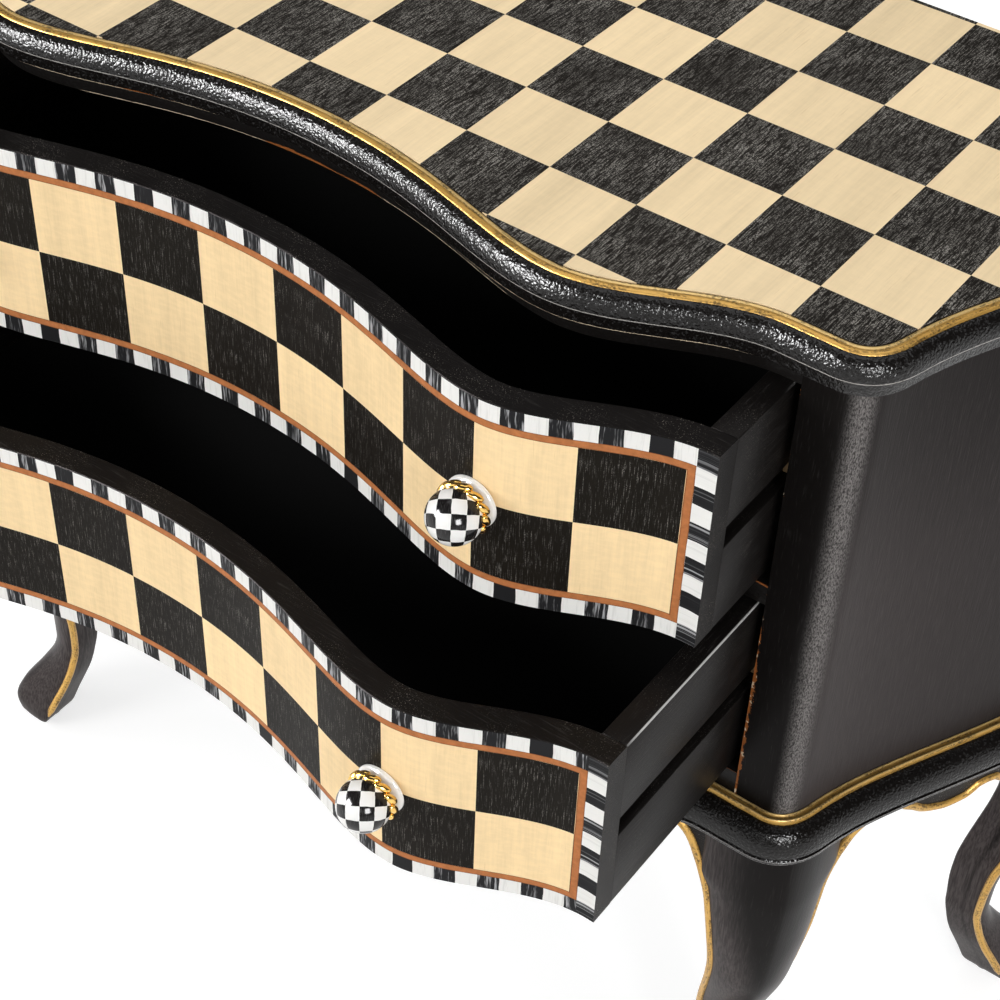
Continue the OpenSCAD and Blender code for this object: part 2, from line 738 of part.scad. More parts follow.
top_panel();
top_veneer();
top_edge_moulding();
top_gilt_bead();
left_side_panel();
right_side_panel();
left_corner_post();
right_corner_post();
back_panel();
top_rail();
divider_rail();
bottom_rail();
dust_panel();
left_guide_board();
right_guide_board();
upper_left_runner();
upper_right_runner();
lower_left_runner();
lower_right_runner();
runner_screws();
stop_battens();
rear_stops();
back_panel_screws();
base_board();
base_moulding();
base_gilt_bead();
front_apron();
left_apron();
right_apron();
back_apron();
front_left_leg();
front_right_leg();
back_left_leg();
back_right_leg();
leg_bolts();
foot_glides();
drawer_front(upper_z, upper_pull);  // upper_front
drawer_front_veneer(upper_z, upper_pull);  // upper_front_veneer
drawer_side(upper_z, upper_pull, -1);  // upper_left_side
drawer_side(upper_z, upper_pull, 1);  // upper_right_side
drawer_back(upper_z, upper_pull);  // upper_back
drawer_bottom(upper_z, upper_pull);  // upper_bottom
stop_button(upper_z, upper_pull);  // upper_stop_button
knob(upper_z, upper_pull, -1);  // upper_left_knob
knob(upper_z, upper_pull, 1);  // upper_right_knob
knob_collars(upper_z, upper_pull);  // upper_knob_collars
knob_screws(upper_z, upper_pull);  // upper_knob_screws
drawer_front(lower_z, lower_pull);  // lower_front
drawer_front_veneer(lower_z, lower_pull);  // lower_front_veneer
drawer_side(lower_z, lower_pull, -1);  // lower_left_side
drawer_side(lower_z, lower_pull, 1);  // lower_right_side
drawer_back(lower_z, lower_pull);  // lower_back
drawer_bottom(lower_z, lower_pull);  // lower_bottom
stop_button(lower_z, lower_pull);  // lower_stop_button
knob(lower_z, lower_pull, -1);  // lower_left_knob
knob(lower_z, lower_pull, 1);  // lower_right_knob
knob_collars(lower_z, lower_pull);  // lower_knob_collars
knob_screws(lower_z, lower_pull);  // lower_knob_screws
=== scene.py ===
"""Serpentine two-drawer chest on cabriole legs, with checkerboard veneer, gilt beads and ball knobs.

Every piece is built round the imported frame, in metres, with -Y out of the drawer fronts.
"""

import json
import math

import bmesh
import bpy
import numpy as np
from bpy.props import FloatProperty, FloatVectorProperty, IntProperty, PointerProperty
from bpy.types import Operator, Panel, PropertyGroup
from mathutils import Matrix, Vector


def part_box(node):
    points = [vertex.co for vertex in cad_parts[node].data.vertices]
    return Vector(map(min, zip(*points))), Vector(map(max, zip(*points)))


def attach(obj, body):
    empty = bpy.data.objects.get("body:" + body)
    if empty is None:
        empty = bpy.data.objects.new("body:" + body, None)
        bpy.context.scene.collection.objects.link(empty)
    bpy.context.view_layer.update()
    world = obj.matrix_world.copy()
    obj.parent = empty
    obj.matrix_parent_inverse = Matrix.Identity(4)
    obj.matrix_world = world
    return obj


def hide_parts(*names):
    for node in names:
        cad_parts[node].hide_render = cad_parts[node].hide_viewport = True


bl_info = {
    "name": "Serpentine Chest",
    "version": (1, 0, 0),
    "blender": (4, 5, 0),
    "location": "3D View > Sidebar > Chest",
    "description": "Builds the looks of a two-drawer serpentine chest round its frame",
    "category": "Object",
}

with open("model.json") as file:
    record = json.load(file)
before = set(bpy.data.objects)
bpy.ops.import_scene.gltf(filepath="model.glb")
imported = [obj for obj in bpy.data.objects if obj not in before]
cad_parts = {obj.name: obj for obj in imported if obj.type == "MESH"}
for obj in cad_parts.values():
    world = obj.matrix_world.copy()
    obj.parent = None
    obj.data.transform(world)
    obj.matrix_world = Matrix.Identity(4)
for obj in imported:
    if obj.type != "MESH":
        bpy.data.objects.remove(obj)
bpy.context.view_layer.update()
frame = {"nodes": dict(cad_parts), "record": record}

# Places that the frame gives
TOP_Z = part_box("top_veneer")[1].z
SLAB_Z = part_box("top_panel")[0].z
BASE_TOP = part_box("base_board")[1].z
LEG_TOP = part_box("base_board")[0].z
BACK_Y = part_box("top_panel")[1].y
FRONT_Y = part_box("left_corner_post")[0].y
FRONT_LEG_AT = (0.413, FRONT_Y + 0.001)
BACK_LEG_AT = (0.508, BACK_Y - 0.012)
LEG_REACH = (0.051 + 0.038) * math.cos(math.radians(45))
ROUND_CORNER = (0.4007, FRONT_Y + 0.0058)
TOP_ROW_LINE = FRONT_Y + 0.033
MM = 0.001

DRAWERS = ("upper", "lower")
SIDES = (("left", -1), ("right", 1))
LEGS = ("front_left", "front_right", "back_left", "back_right")


def length(name, default_mm, description):
    """A length property in metres, from a default in millimetres."""
    return FloatProperty(name=name, description=description, default=default_mm * MM, min=0.0, unit="LENGTH")


def paint(name, default, description):
    """A colour property, as linear red, green and blue."""
    return FloatVectorProperty(
        name=name, description=description, default=default, size=3, min=0.0, max=1.0, subtype="COLOR"
    )


class ChestSizes(PropertyGroup):
    bulge: length("Bulge", 43, "How far the two bulges stand in front of the corners")
    middle_swell: length("Middle swell", 3.5, "How far the middle stands in front of the corners")
    bulge_x: length("Bulge place", 218, "Distance of each bulge from the middle")
    flank_end: length("Flank end", 352, "Distance from the middle at which the curve of the front ends")
    half_front: length("Half front", 409, "Half the width between the front corners")
    half_back: length("Half back", 519, "Half the width across the back")
    corner_r: length("Corner radius", 23, "Radius of the front corners")
    half_opening: length("Half opening", 362.5, "Half the width of the drawer openings")
    side_t: length("Side thickness", 18, "Thickness of the side panels")
    rail_d: length("Rail depth", 22, "Depth of the front rails")
    post_d: length("Post depth", 42, "Depth of the corner posts")
    edge_w: length("Top edge", 17, "Overhang of the moulded edge of the top")
    bead_w: length("Top bead", 8.5, "Width of the gilt bead round the top")
    base_edge_w: length("Base edge", 20.5, "Overhang of the base moulding")
    base_bead_w: length("Base bead", 7, "Width of the gilt bead on the base moulding")
    apron_proud: length("Apron stand", 8, "How far the aprons stand in front of the case")
    apron_t: length("Apron thickness", 18, "Thickness of the aprons")
    apron_bead: length("Apron bead", 7.4, "Width of the gilt bead under the aprons and down the legs")
    half_drawer: length("Half drawer", 356, "Half the width of a drawer")
    drawer_h: length("Drawer height", 156, "Height of a drawer front")
    front_t: length("Front thickness", 20, "Thickness of a drawer front")
    veneer_t: length("Veneer", 1.5, "Thickness of the veneer on the drawer fronts")
    knob_r: length("Knob radius", 18, "Radius of the ball of a knob")


class ChestPattern(PropertyGroup):
    top_square: length("Top squares", 63.5, "Side of the squares on the top")
    top_row: length("Top row", 0, "How far the rows of the top are shifted backwards")
    front_column: length("Front columns", 63.5, "Width of the squares on the drawer fronts")
    front_row: length("Front rows", 59, "Height of the squares on the drawer fronts")
    border: length("Border", 13.5, "Width of the striped border")
    stringing: length("Stringing", 5.5, "Width of the stringing inside the border")
    stripe: length("Stripes", 14.49, "Width of the stripes of the border")
    side_stripe: length("Side stripes", 14.18, "Height of the stripes at the ends of the border")
    beads_per_knob: IntProperty(name="Knob beads", description="Gold beads round each knob", default=12, min=6)


class ChestColours(PropertyGroup):
    light_veneer: paint("Light veneer", (0.885, 0.665, 0.380), "Light squares of the drawer fronts")
    light_top: paint("Light top veneer", (0.87, 0.685, 0.425), "Light squares of the top")
    dark_veneer: paint("Dark veneer", (0.0125, 0.0100, 0.0075), "Dark squares")
    stringing: paint("Stringing", (0.47, 0.172, 0.062), "The line inside the border")
    white_stripe: paint("White stripes", (0.82, 0.81, 0.78), "White stripes of the border")
    black_stripe: paint("Black stripes", (0.016, 0.016, 0.017), "Black stripes of the border")
    lacquer: paint("Lacquer", (0.0050, 0.0042, 0.0038), "Black lacquer of the case")
    inside: paint("Inside", (0.004, 0.004, 0.004), "Black stain inside")
    worn: paint("Worn edge", (0.62, 0.50, 0.36), "Pale wood where an edge is rubbed")
    # A painted sheen that stands in for reflected light on the side panels and the legs.
    painted_sheen: paint("Thin lacquer", (0.059, 0.050, 0.049), "Lacquer rubbed thin on the side panels and the legs")
    rubbed: paint("Rubbed edge", (0.26, 0.085, 0.022), "Red-brown where an edge is rubbed deeper")
    gold: paint("Gold", (0.60, 0.325, 0.058), "Gilt beads")
    pale_gold: paint("Pale gold", (0.74, 0.53, 0.22), "Rubbed gilt")
    umber: paint("Umber", (0.020, 0.012, 0.005), "Dark glaze in the gilt")
    hardwood: paint("Hardwood", (0.45, 0.29, 0.15), "Runners and stops")
    glaze: paint("Glaze", (0.86, 0.85, 0.83), "White glaze of the knobs")
    steel: paint("Steel", (0.56, 0.56, 0.58), "Screws and bolts")
    glide: paint("Glide", (0.014, 0.014, 0.014), "Glides under the feet")
    floor: paint("Floor", (0.55, 0.55, 0.55), "Studio floor")


# ---- Node trees ----
class Tree:
    """Adds nodes to a tree, with their inputs as values or links."""

    def __init__(self, tree, prefix):
        self.tree, self.prefix = tree, prefix

    def add(self, kind, inputs=None, out=0, **settings):
        node = self.tree.nodes.new(self.prefix + kind)
        for key, value in settings.items():
            setattr(node, key, value)
        for key, value in (inputs or {}).items():
            self.put(node.inputs[key], value)
        return node if out is None else node.outputs[out]

    def put(self, socket, value):
        if isinstance(value, Value):
            value = value.socket
        if isinstance(value, bpy.types.NodeSocket):
            self.tree.links.new(value, socket)
        elif socket.type == "RGBA":
            socket.default_value = (*value[:3], 1.0)
        else:
            socket.default_value = value


class ShaderTree(Tree):
    """A tree of shader nodes, whose values can be added, multiplied and compared."""

    def __init__(self, tree):
        super().__init__(tree, "ShaderNode")

    def add(self, kind, inputs=None, out=0, **settings):
        made = super().add(kind, inputs, out, **settings)
        return made if out is None else Value(self, made)

    def math(self, operation, a, b=0.0):
        return self.add("Math", {0: a, 1: b}, operation=operation)

    def vector(self, x, y, z=0.0):
        return self.add("CombineXYZ", {0: x, 1: y, 2: z})

    def split(self, vector):
        return [Value(self, part) for part in self.add("SeparateXYZ", {0: vector}, out=None).outputs]

    def background_ray(self):
        """1 for rays that show a background, straight on or in gloss or glass, and 0 for the light on the chest."""
        ray = self.add("LightPath", out=None).outputs
        mirrored = self.math("MAXIMUM", ray["Is Glossy Ray"], ray["Is Transmission Ray"])
        return self.math("MAXIMUM", ray["Is Camera Ray"], mirrored)


class Value:
    """A number in a shader tree. Each sum or comparison adds a Math node."""

    def __init__(self, tree, socket):
        self.tree, self.socket = tree, socket

    def __add__(self, other):
        return self.tree.math("ADD", self, other)

    def __sub__(self, other):
        return self.tree.math("SUBTRACT", self, other)

    def __rsub__(self, other):
        return self.tree.math("SUBTRACT", other, self)

    def __mul__(self, other):
        return self.tree.math("MULTIPLY", self, other)

    def __truediv__(self, other):
        return self.tree.math("DIVIDE", self, other)

    def __lt__(self, other):
        return self.tree.math("LESS_THAN", self, other)

    def __gt__(self, other):
        return self.tree.math("GREATER_THAN", self, other)

    def __abs__(self):
        return self.tree.math("ABSOLUTE", self)

    __radd__, __rmul__ = __add__, __mul__

    def floor(self):
        return self.tree.math("FLOOR", self)

    def odd(self):
        """0 on even whole numbers and 1 on odd ones."""
        return self.tree.math("PINGPONG", self, 1.0)

    def least(self, other):
        return self.tree.math("MINIMUM", self, other)

    def most(self, other):
        return self.tree.math("MAXIMUM", self, other)

    def step(self, low, high):
        """0 at low, 1 at high and a smooth rise between them."""
        return self.tree.add("MapRange", {0: self, 1: low, 2: high}, interpolation_type="SMOOTHSTEP")


class Finish(ShaderTree):
    """One material: a Principled shader with the fixed numbers on its own sockets."""

    def __init__(self, name, roughness=0.5, specular=0.5, metallic=0.0, coat=0.0, tint=(1.0, 1.0, 1.0)):
        self.material = bpy.data.materials.new(name)
        self.material.use_nodes = True
        super().__init__(self.material.node_tree)
        self.shader = self.tree.nodes["Principled BSDF"]
        fixed = {"Roughness": roughness, "Specular IOR Level": specular, "Metallic": metallic, "Specular Tint": tint}
        if coat:
            fixed.update({"Coat Weight": coat, "Coat Roughness": 0.06})
        for key, value in fixed.items():
            self.put(self.shader.inputs[key], value)

    def mix(self, share, a, b):
        return self.add("Mix", {0: share, 6: a, 7: b}, out=2, data_type="RGBA")

    def shade(self, colour, amount):
        """The colour, multiplied by a number."""
        return self.add("VectorMath", {0: colour, 3: amount}, operation="SCALE")

    def place(self):
        return self.add("TexCoord", out="Object")

    def strip(self):
        """The piece's own map, in metres along its path and round its profile unless its maker says otherwise."""
        return self.split(self.add("UVMap", uv_map="UVMap"))[:2]

    def noise(self, vector, scale=1.0, detail=2.0, roughness=0.5):
        return self.add("TexNoise", {"Vector": vector, "Scale": scale, "Detail": detail, "Roughness": roughness})

    def stretched(self, vector, scales, detail=2.0, roughness=0.5):
        """Noise with its own scale along each axis, such as grain and pores."""
        return self.noise(self.add("VectorMath", {0: vector, 1: scales}, operation="MULTIPLY"), 1.0, detail, roughness)

    def chance(self, a, b):
        """A number from 0 to 1 for each pair of whole numbers."""
        return self.add("TexWhiteNoise", {"Vector": self.vector(a, b)}, out="Value", noise_dimensions="2D")

    def away(self, x, y, corner):
        """Distance from an upright line at a corner, alike on both sides of the chest."""
        dx, dy = abs(x) - corner[0], y - corner[1]
        return self.math("SQRT", dx * dx + dy * dy)

    def bump(self, height, strength, distance):
        normal = self.add("Bump", {"Strength": strength, "Distance": distance, "Height": height})
        self.put(self.shader.inputs["Normal"], normal)

    def colour(self, value):
        self.put(self.shader.inputs["Base Color"], value)

    def rough(self, value):
        self.put(self.shader.inputs["Roughness"], value)


# ---- Finishes ----
# Colours within the finishes, beside those that a user would change
VENEER_FLECK = (0.52, 0.37, 0.20)
PALE_PORE_STREAK = (0.33, 0.31, 0.28)
BRUSHED_WHITE = (0.52, 0.51, 0.48)
BRUSHED_BLACK = (0.46, 0.46, 0.47)
LACQUER_PORE = (0.055, 0.050, 0.048)
LACQUER_SPECK = (0.42, 0.38, 0.33)
# Painted highlight down the rounded front corners
PAINTED_CORNER_HIGHLIGHT = (0.20, 0.186, 0.180)
# Painted highlight along the top edges of the drawer sides
PAINTED_RIM_HIGHLIGHT = (0.50, 0.49, 0.48)
# Pale glints painted into the colour of the mouldings
MOULDING_GLINT = (0.45, 0.45, 0.46)
GILT_HOLLOW = (0.085, 0.050, 0.010)
CHECK_BLACK = (0.010, 0.009, 0.009)
CHECK_BRUSH = (0.26, 0.25, 0.25)
RING_GOLD = (0.80, 0.52, 0.16)

# Tint of the shine of black lacquer
LACQUER_GLOSS = (1.0, 0.93, 0.92)

# Scales of the noise that makes open pores, small along the grain
UPRIGHT_GRAIN = (900.0, 900.0, 55.0)
LEVEL_GRAIN = (55.0, 900.0, 900.0)
DEEP_GRAIN = (900.0, 55.0, 900.0)
LEG_GRAIN = (700.0, 700.0, 40.0)

FINISHES = {}


def scaled(colour, amount):
    return [amount * part for part in colour]


def veneer_squares(finish, along, up, parity, grain_place, light, dark, streaks, gate, ripple, run):
    """Light and dark squares, with along and up counted in squares and the grain on the second axis of grain_place.
    The pores of the dark squares show by streaks, are fewer with a higher gate and shorter with a higher run. ripple
    is the figure across the light squares."""
    column, row = along.floor(), up.floor()
    chance = finish.chance(column, row)
    x, y, z = finish.split(grain_place)
    moved = finish.vector(x + chance * 3.0, y, z)
    fibre = finish.stretched(moved, (620.0, 26.0, 620.0), 3.0, 0.6)
    figure = finish.stretched(moved, (75.0, 6.0, 75.0))
    waves = finish.stretched(moved, (95.0, 240.0, 95.0), 2.0, 0.6).step(0.38, 0.66)
    tone = fibre * 0.22 + figure * 0.30 + chance * 0.10
    pale = finish.shade(light, tone + (waves - 0.5) * ripple + 0.71)
    pale = finish.mix(fibre.step(0.60, 0.74) * 0.30, pale, VENEER_FLECK)
    pores = finish.stretched(moved, (1700.0, run, 1700.0), 2.0, 0.7)
    patch = finish.stretched(moved, (30.0, 20.0, 30.0)).step(0.20, 0.80)
    dots = finish.noise(moved, 1300.0, 2.0, 0.6).step(0.40, 0.60)
    streak = pores.step(gate, gate + 0.10) * (patch + 0.45) * dots
    # The dark squares get pale streaks along their pores.
    night = finish.mix(streak * streaks, finish.shade(dark, tone * 2.2 + 0.45), PALE_PORE_STREAK)
    finish.bump(pores, 0.22, 0.0004)
    return finish.mix((column + row + parity).odd(), pale, night)


def top_veneer_finish(pattern, colours):
    finish = Finish("checker_veneer_top", 0.55, 0.08)
    place = finish.place()
    x, y, _ = finish.split(place)
    finish.colour(veneer_squares(
        finish, x / pattern.top_square + 0.5, (y - (TOP_ROW_LINE + pattern.top_row)) / pattern.top_square, 0.0, place,
        colours.light_top, scaled(colours.dark_veneer, 0.8), streaks=0.74, gate=0.47, ripple=0.02, run=110.0,
    ))
    return finish.material


def drawer_veneer_finish(sizes, pattern, colours, half_length, lip):
    """Two rows of squares inside a stringing line and a border of hand-painted stripes.
    half_length is half the length of the front along its curve, and lip the width of the map above its face."""
    finish = Finish("checker_veneer_front", 0.42, 0.04)
    along, round_ = finish.strip()
    up = sizes.drawer_h + lip - round_
    grain = finish.vector(along, up)
    wobble = (finish.noise(grain, 60.0, 1.0) - 0.5) * 0.0016
    from_end = half_length - abs(along)
    from_long = up.least(sizes.drawer_h - up)
    squares = veneer_squares(
        finish, along / pattern.front_column + 0.5, (up - sizes.drawer_h / 2) / pattern.front_row + 1.0, 1.0, grain,
        colours.light_veneer, scaled(colours.dark_veneer, 0.72), streaks=0.50, gate=0.56, ripple=0.05, run=60.0,
    )
    # Stripes across the long borders, further on by 0.6 of a stripe on the lower drawer, and up the two ends
    at_end = from_end < pattern.border
    lower = finish.split(finish.place())[2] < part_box("lower_front")[1].z
    count = (along + wobble) / pattern.stripe + (lower * 0.6 + 0.5)
    count = at_end * ((up + wobble) / pattern.side_stripe - count) + count
    stripe = count.floor()
    chance = finish.chance(stripe, (up * 9.0).floor())
    brush = finish.stretched(finish.vector(count, from_long * 60.0, chance * 40.0), (7.0, 0.5, 1.0), 3.0, 0.7)
    mark = brush.step(0.50, 0.66)
    bright = finish.mix(mark * 0.30, colours.white_stripe, BRUSHED_WHITE)
    dull = finish.mix(mark * (chance.step(0.05, 0.6) * 0.95), colours.black_stripe, BRUSHED_BLACK)
    stripes = finish.mix((stripe + (1.0 - at_end)).odd(), dull, bright)
    # The stringing, darker along both its edges
    inward = from_end.least(from_long) + wobble * 0.35
    off_middle = abs(inward - (pattern.border + pattern.stringing / 2))
    tone = finish.stretched(grain, (210.0, 210.0, 210.0), 3.0, 0.65) * 0.80 + 0.56
    line = finish.shade(colours.stringing, tone * (1.0 - off_middle.step(0.0018, 0.0028) * 0.55))
    framed = finish.mix(inward > pattern.border, stripes, line)
    finish.colour(finish.mix(inward > pattern.border + pattern.stringing, framed, squares))
    return finish.material


def case_wear_and_painted_light(finish, colour, colours, grain, opening):
    """Rubbing and painted light on the uprights: the edges at the drawer opening, (x, y), rubbed through in places; a
    painted sheen on the side panels, strongest low and in front, which darkens towards the back and the top as painted
    shade; and a painted highlight down the rounded corners."""
    place = finish.place()
    x, y, z = finish.split(place)
    reach = finish.stretched(place, (330.0, 330.0, 150.0), 4.0, 0.75) * 0.0105
    broken = finish.stretched(place, (4.0, 4.0, 11.0), 1.0).step(0.44, 0.56) * 0.0032
    deep = finish.mix(finish.noise(place, 210.0).step(0.60, 0.66), colours.rubbed, colours.worn)
    colour = finish.mix(finish.away(x, y, opening) < reach + broken - 0.0066, colour, deep)
    # Painted sheen on the side panels behind the corners, with painted shade that darkens it towards the back and the
    # top.
    corner_y = ROUND_CORNER[1]
    panel = y.step(corner_y - 0.004, corner_y + 0.012) * (grain + 0.50)
    panel = panel * (1.0 - y.step(-0.16, 0.20) * 0.7) * (1.0 - z.step(0.62, 0.84) * 0.7)
    colour = finish.mix(panel, colour, colours.painted_sheen)
    # A painted highlight down each rounded front corner, broken by short grain.
    short = finish.stretched(place, (1300.0, 1300.0, 420.0), 2.0, 0.7).step(0.36, 0.64)
    sheen = finish.away(x, y, ROUND_CORNER).step(0.0125, 0.0) * (short + 0.2)
    return finish.mix(sheen * 0.95, colour, PAINTED_CORNER_HIGHLIGHT)


def painted_leg_sheen(finish, colour, colours, grain):
    """A painted sheen towards the arrises and over the foot, with a dark core up the middle of the face near the knee,
    on the map of a leg.
    """
    across, share = finish.strip()
    core = finish.add("MapRange", {0: share, 1: 0.40, 2: 0.85, 3: -0.25, 4: 0.40})
    thin = (abs(across) - core).step(0.0, 0.50) * (grain.step(0.35, 0.65) * 0.5 + 0.4)
    return finish.mix(thin, colour, scaled(colours.painted_sheen, 1.5))


def speckled(finish, colour, amount):
    """Pale specks, gathered in patches."""
    place = finish.place()
    spots = finish.noise(place, 1300.0).step(0.655, 0.70) * finish.noise(place, 28.0, 1.0).step(0.36, 0.70)
    return finish.mix(spots * amount, colour, LACQUER_SPECK)


def painted_rim_highlights(finish, colour, at, heights):
    """A painted highlight along the top edges of the drawer sides, at x and two heights, in broken lengths."""
    place = finish.place()
    x, _, z = finish.split(place)
    near = abs(z - heights[0]).least(abs(z - heights[1])).most(abs(abs(x) - at))
    # The mask of the painted highlight, along the rims and broken by noise.
    worn = near.step(0.0012, 0.0007) * finish.noise(place, 6.0, 1.0).step(0.40, 0.50)
    return finish.mix(worn, colour, PAINTED_RIM_HIGHLIGHT)


def lacquer_finish(name, colours, grain_scales, wear_and_painted_light, roughness=0.36, specular=0.10, pores=1.0):
    """Black lacquer over open pores, with a function of the finish, its colour and its grain that adds rubbed edges,
    specks and painted light.
    """
    finish = Finish(name, roughness, specular, tint=LACQUER_GLOSS)
    place = finish.place()
    grain = finish.stretched(place, grain_scales, 3.0, 0.65)
    colour = finish.shade(colours.lacquer, finish.noise(place, 9.0) * 0.8 + 0.65)
    colour = finish.mix(grain.step(0.56, 0.70) * (0.35 * pores), colour, LACQUER_PORE)
    finish.colour(wear_and_painted_light(finish, colour, grain))
    finish.rough(grain * 0.16 + (roughness - 0.06))
    finish.bump(grain * -1.0, 0.35 * pores, 0.0006)
    return finish.material


def moulding_finish(name, colours, edge_lines, sparkle=1.0, roughness=0.17, specular=0.30):
    """Black lacquer with an orange-peel sparkle, from bumps and rough spots, and pale glints painted into its colour.
    rubs are (place round the profile, width, share of the length, colour)."""
    finish = Finish(name, roughness, specular)
    place = finish.place()
    along, round_ = finish.strip()
    peel = finish.noise(place, 520.0, 1.0)
    colour = finish.shade(colours.lacquer, finish.noise(place, 14.0) + 0.7)
    # Pale glints painted into the colour at the tops of the orange peel.
    colour = finish.mix(peel.step(0.56, 0.72) * (0.04 * sparkle), colour, MOULDING_GLINT)
    ragged = finish.stretched(finish.vector(along, round_), (130.0, 500.0, 1.0), 4.0, 0.75)
    for at, width, share, tint in edge_lines:
        patch = finish.noise(finish.vector(along, round_, at * 40.0), 7.0)
        reach = patch.step(0.62 - 0.35 * share, 0.72 - 0.35 * share) * ragged
        colour = finish.mix(abs(round_ - at) < reach * width, colour, tint)
    finish.colour(colour)
    dull = finish.noise(place, 800.0, 2.0, 0.6).step(0.44, 0.56)
    finish.rough(dull * (0.12 * sparkle) + (roughness - 0.04))
    finish.bump(peel, 0.80 * sparkle, 0.0010)
    return finish.material


def gilt_finish(name, colours, quirk=None, strip=None, rails=None):
    """Gold leaf with dark glaze. Round the profile, a dark line ends at quirk, strip is rubbed pale between its two
    ends, and the two rails are bright with a dark hollow between them."""
    finish = Finish(name, 0.36, 0.5, metallic=0.55)
    place = finish.place()
    along, round_ = finish.strip()
    speck = finish.noise(place, 520.0, 3.0, 0.7)
    rubbed = finish.mix(0.35, colours.gold, colours.pale_gold)
    colour = finish.mix(finish.noise(place, 60.0), colours.gold, rubbed)
    if strip or rails:
        ragged = finish.stretched(finish.vector(along, round_), (90.0, 600.0, 1.0), 4.0, 0.7) * 0.0012
        at = round_ + (ragged - 0.0006)
    if strip:
        pale = at.step(strip[0], strip[0] + 0.0004) * at.step(strip[1], strip[1] - 0.0006)
        colour = finish.mix(pale * 0.85, colour, colours.pale_gold)
        colour = finish.mix(at.step(quirk + 0.0002, quirk), colour, colours.umber)
    if rails:
        for edge in rails:
            colour = finish.mix(abs(at - edge).step(0.0012, 0.0006) * 0.8, colour, colours.pale_gold)
        middle = abs(at - sum(rails) / 2).step(0.0028, 0.0012)
        colour = finish.mix(middle * 0.55, colour, GILT_HOLLOW)
    drag = finish.stretched(finish.vector(along, round_), (45.0, 420.0, 1.0), 3.0, 0.65)
    dark = speck.step(0.40, 0.60) * drag.step(0.44, 0.60)
    finish.colour(finish.mix(dark * 0.80, colour, colours.umber))
    finish.rough(speck * 0.28 + 0.26)
    finish.bump(speck, 0.35, 0.0006)
    return finish.material


def plain_finish(name, colour, roughness, scales, depth=0.25, metallic=0.0, specular=0.5, coat=0.0):
    """One colour with a fine grain, for the pieces inside and for metal."""
    finish = Finish(name, roughness, specular, metallic, coat)
    grain = finish.stretched(finish.place(), scales, 3.0, 0.6)
    finish.colour(finish.shade(colour, grain * depth + (1.0 - depth / 2)))
    finish.bump(grain, 0.15, 0.0003)
    return finish.material


def knob_check_finish(colours):
    """Painted checks under a clear glaze, on the knob's own map, counted in squares."""
    finish = Finish("knob_checks", 0.12, 0.32)
    across, up = finish.strip()
    wobble = (finish.noise(finish.place(), 180.0, 1.0) - 0.5) * 0.10
    dark = ((across + wobble).floor() + (up + wobble).floor()).odd()
    brush = finish.stretched(finish.vector(across, up), (14.0, 1.2, 1.0), 2.0, 0.7).step(0.52, 0.75)
    finish.colour(finish.mix(dark, colours.glaze, finish.mix(brush * 0.22, CHECK_BLACK, CHECK_BRUSH)))
    return finish.material


def make_finishes(scene):
    """Makes the finishes that several pieces share."""
    sizes, colours = scene.chest_sizes, scene.chest_colours
    opening = (sizes.half_opening, FRONT_Y)
    side_tops = [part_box(f"{drawer}_right_side")[1].z for drawer in DRAWERS]

    def case_wear_and_sheen(finish, colour, grain):
        return case_wear_and_painted_light(finish, colour, colours, grain, opening)

    def leg_sheen(finish, colour, grain):
        return painted_leg_sheen(finish, colour, colours, grain)

    def level_wear(finish, colour, grain):
        return speckled(finish, colour, 0.8)

    # Pale specks, and a painted highlight along the rims.
    def side_specks_and_highlights(finish, colour, grain):
        return painted_rim_highlights(finish, speckled(finish, colour, 0.35), sizes.half_drawer, side_tops)

    FINISHES.update({
        "upright": lacquer_finish("lacquer_upright", colours, UPRIGHT_GRAIN, case_wear_and_sheen, 0.30, 0.04, 0.7),
        "level": lacquer_finish("lacquer_level", colours, LEVEL_GRAIN, level_wear),
        "deep": lacquer_finish("lacquer_deep", colours, DEEP_GRAIN, side_specks_and_highlights),
        "leg": lacquer_finish("lacquer_leg", colours, LEG_GRAIN, leg_sheen, 0.30, 0.045, 0.5),
        "inside": plain_finish("black_stain", colours.inside, 0.85, (300.0, 40.0, 300.0), specular=0.12),
        "hardwood": plain_finish("waxed_hardwood", colours.hardwood, 0.5, (500.0, 30.0, 500.0), depth=0.6),
        "steel": plain_finish("plain_steel", colours.steel, 0.32, (900.0, 900.0, 900.0), metallic=1.0),
        "glide": plain_finish("glide_plastic", colours.glide, 0.6, (500.0, 500.0, 500.0)),
        "gilt": gilt_finish("gilt_carving", colours),
        "glaze": plain_finish("white_glaze", colours.glaze, 0.10, (120.0, 120.0, 120.0), depth=0.05, coat=0.7),
        "knob_checks": knob_check_finish(colours),
        "ring_gold": plain_finish("knob_gold", RING_GOLD, 0.16, (260.0, 260.0, 260.0), depth=0.5, metallic=1.0),
    })


# ---- Curves of the plan ----
def bezier(points, steps):
    """The points of a cubic curve after its first one."""
    p = [np.array(q, float) for q in points]
    return [
        (1 - s) ** 3 * p[0] + 3 * s * (1 - s) ** 2 * p[1] + 3 * s * s * (1 - s) * p[2] + s**3 * p[3]
        for s in (i / steps for i in range(1, steps + 1))
    ]


def half_front_curve(sizes):
    """The front from its middle to the end of the flank, as (x, depth behind the corners)."""
    swell, bulge, at, end = sizes.middle_swell, sizes.bulge, sizes.bulge_x, sizes.flank_end
    middle = [(0, -swell), (at * 0.5, -swell), (at * 0.76, -bulge), (at, -bulge)]
    flank = [(at, -bulge), (at + (end - at) * 0.33, -bulge), (at + (end - at) * 0.64, 0), (end, 0)]
    return [np.array(middle[0])] + bezier(middle, 44) + bezier(flank, 36)


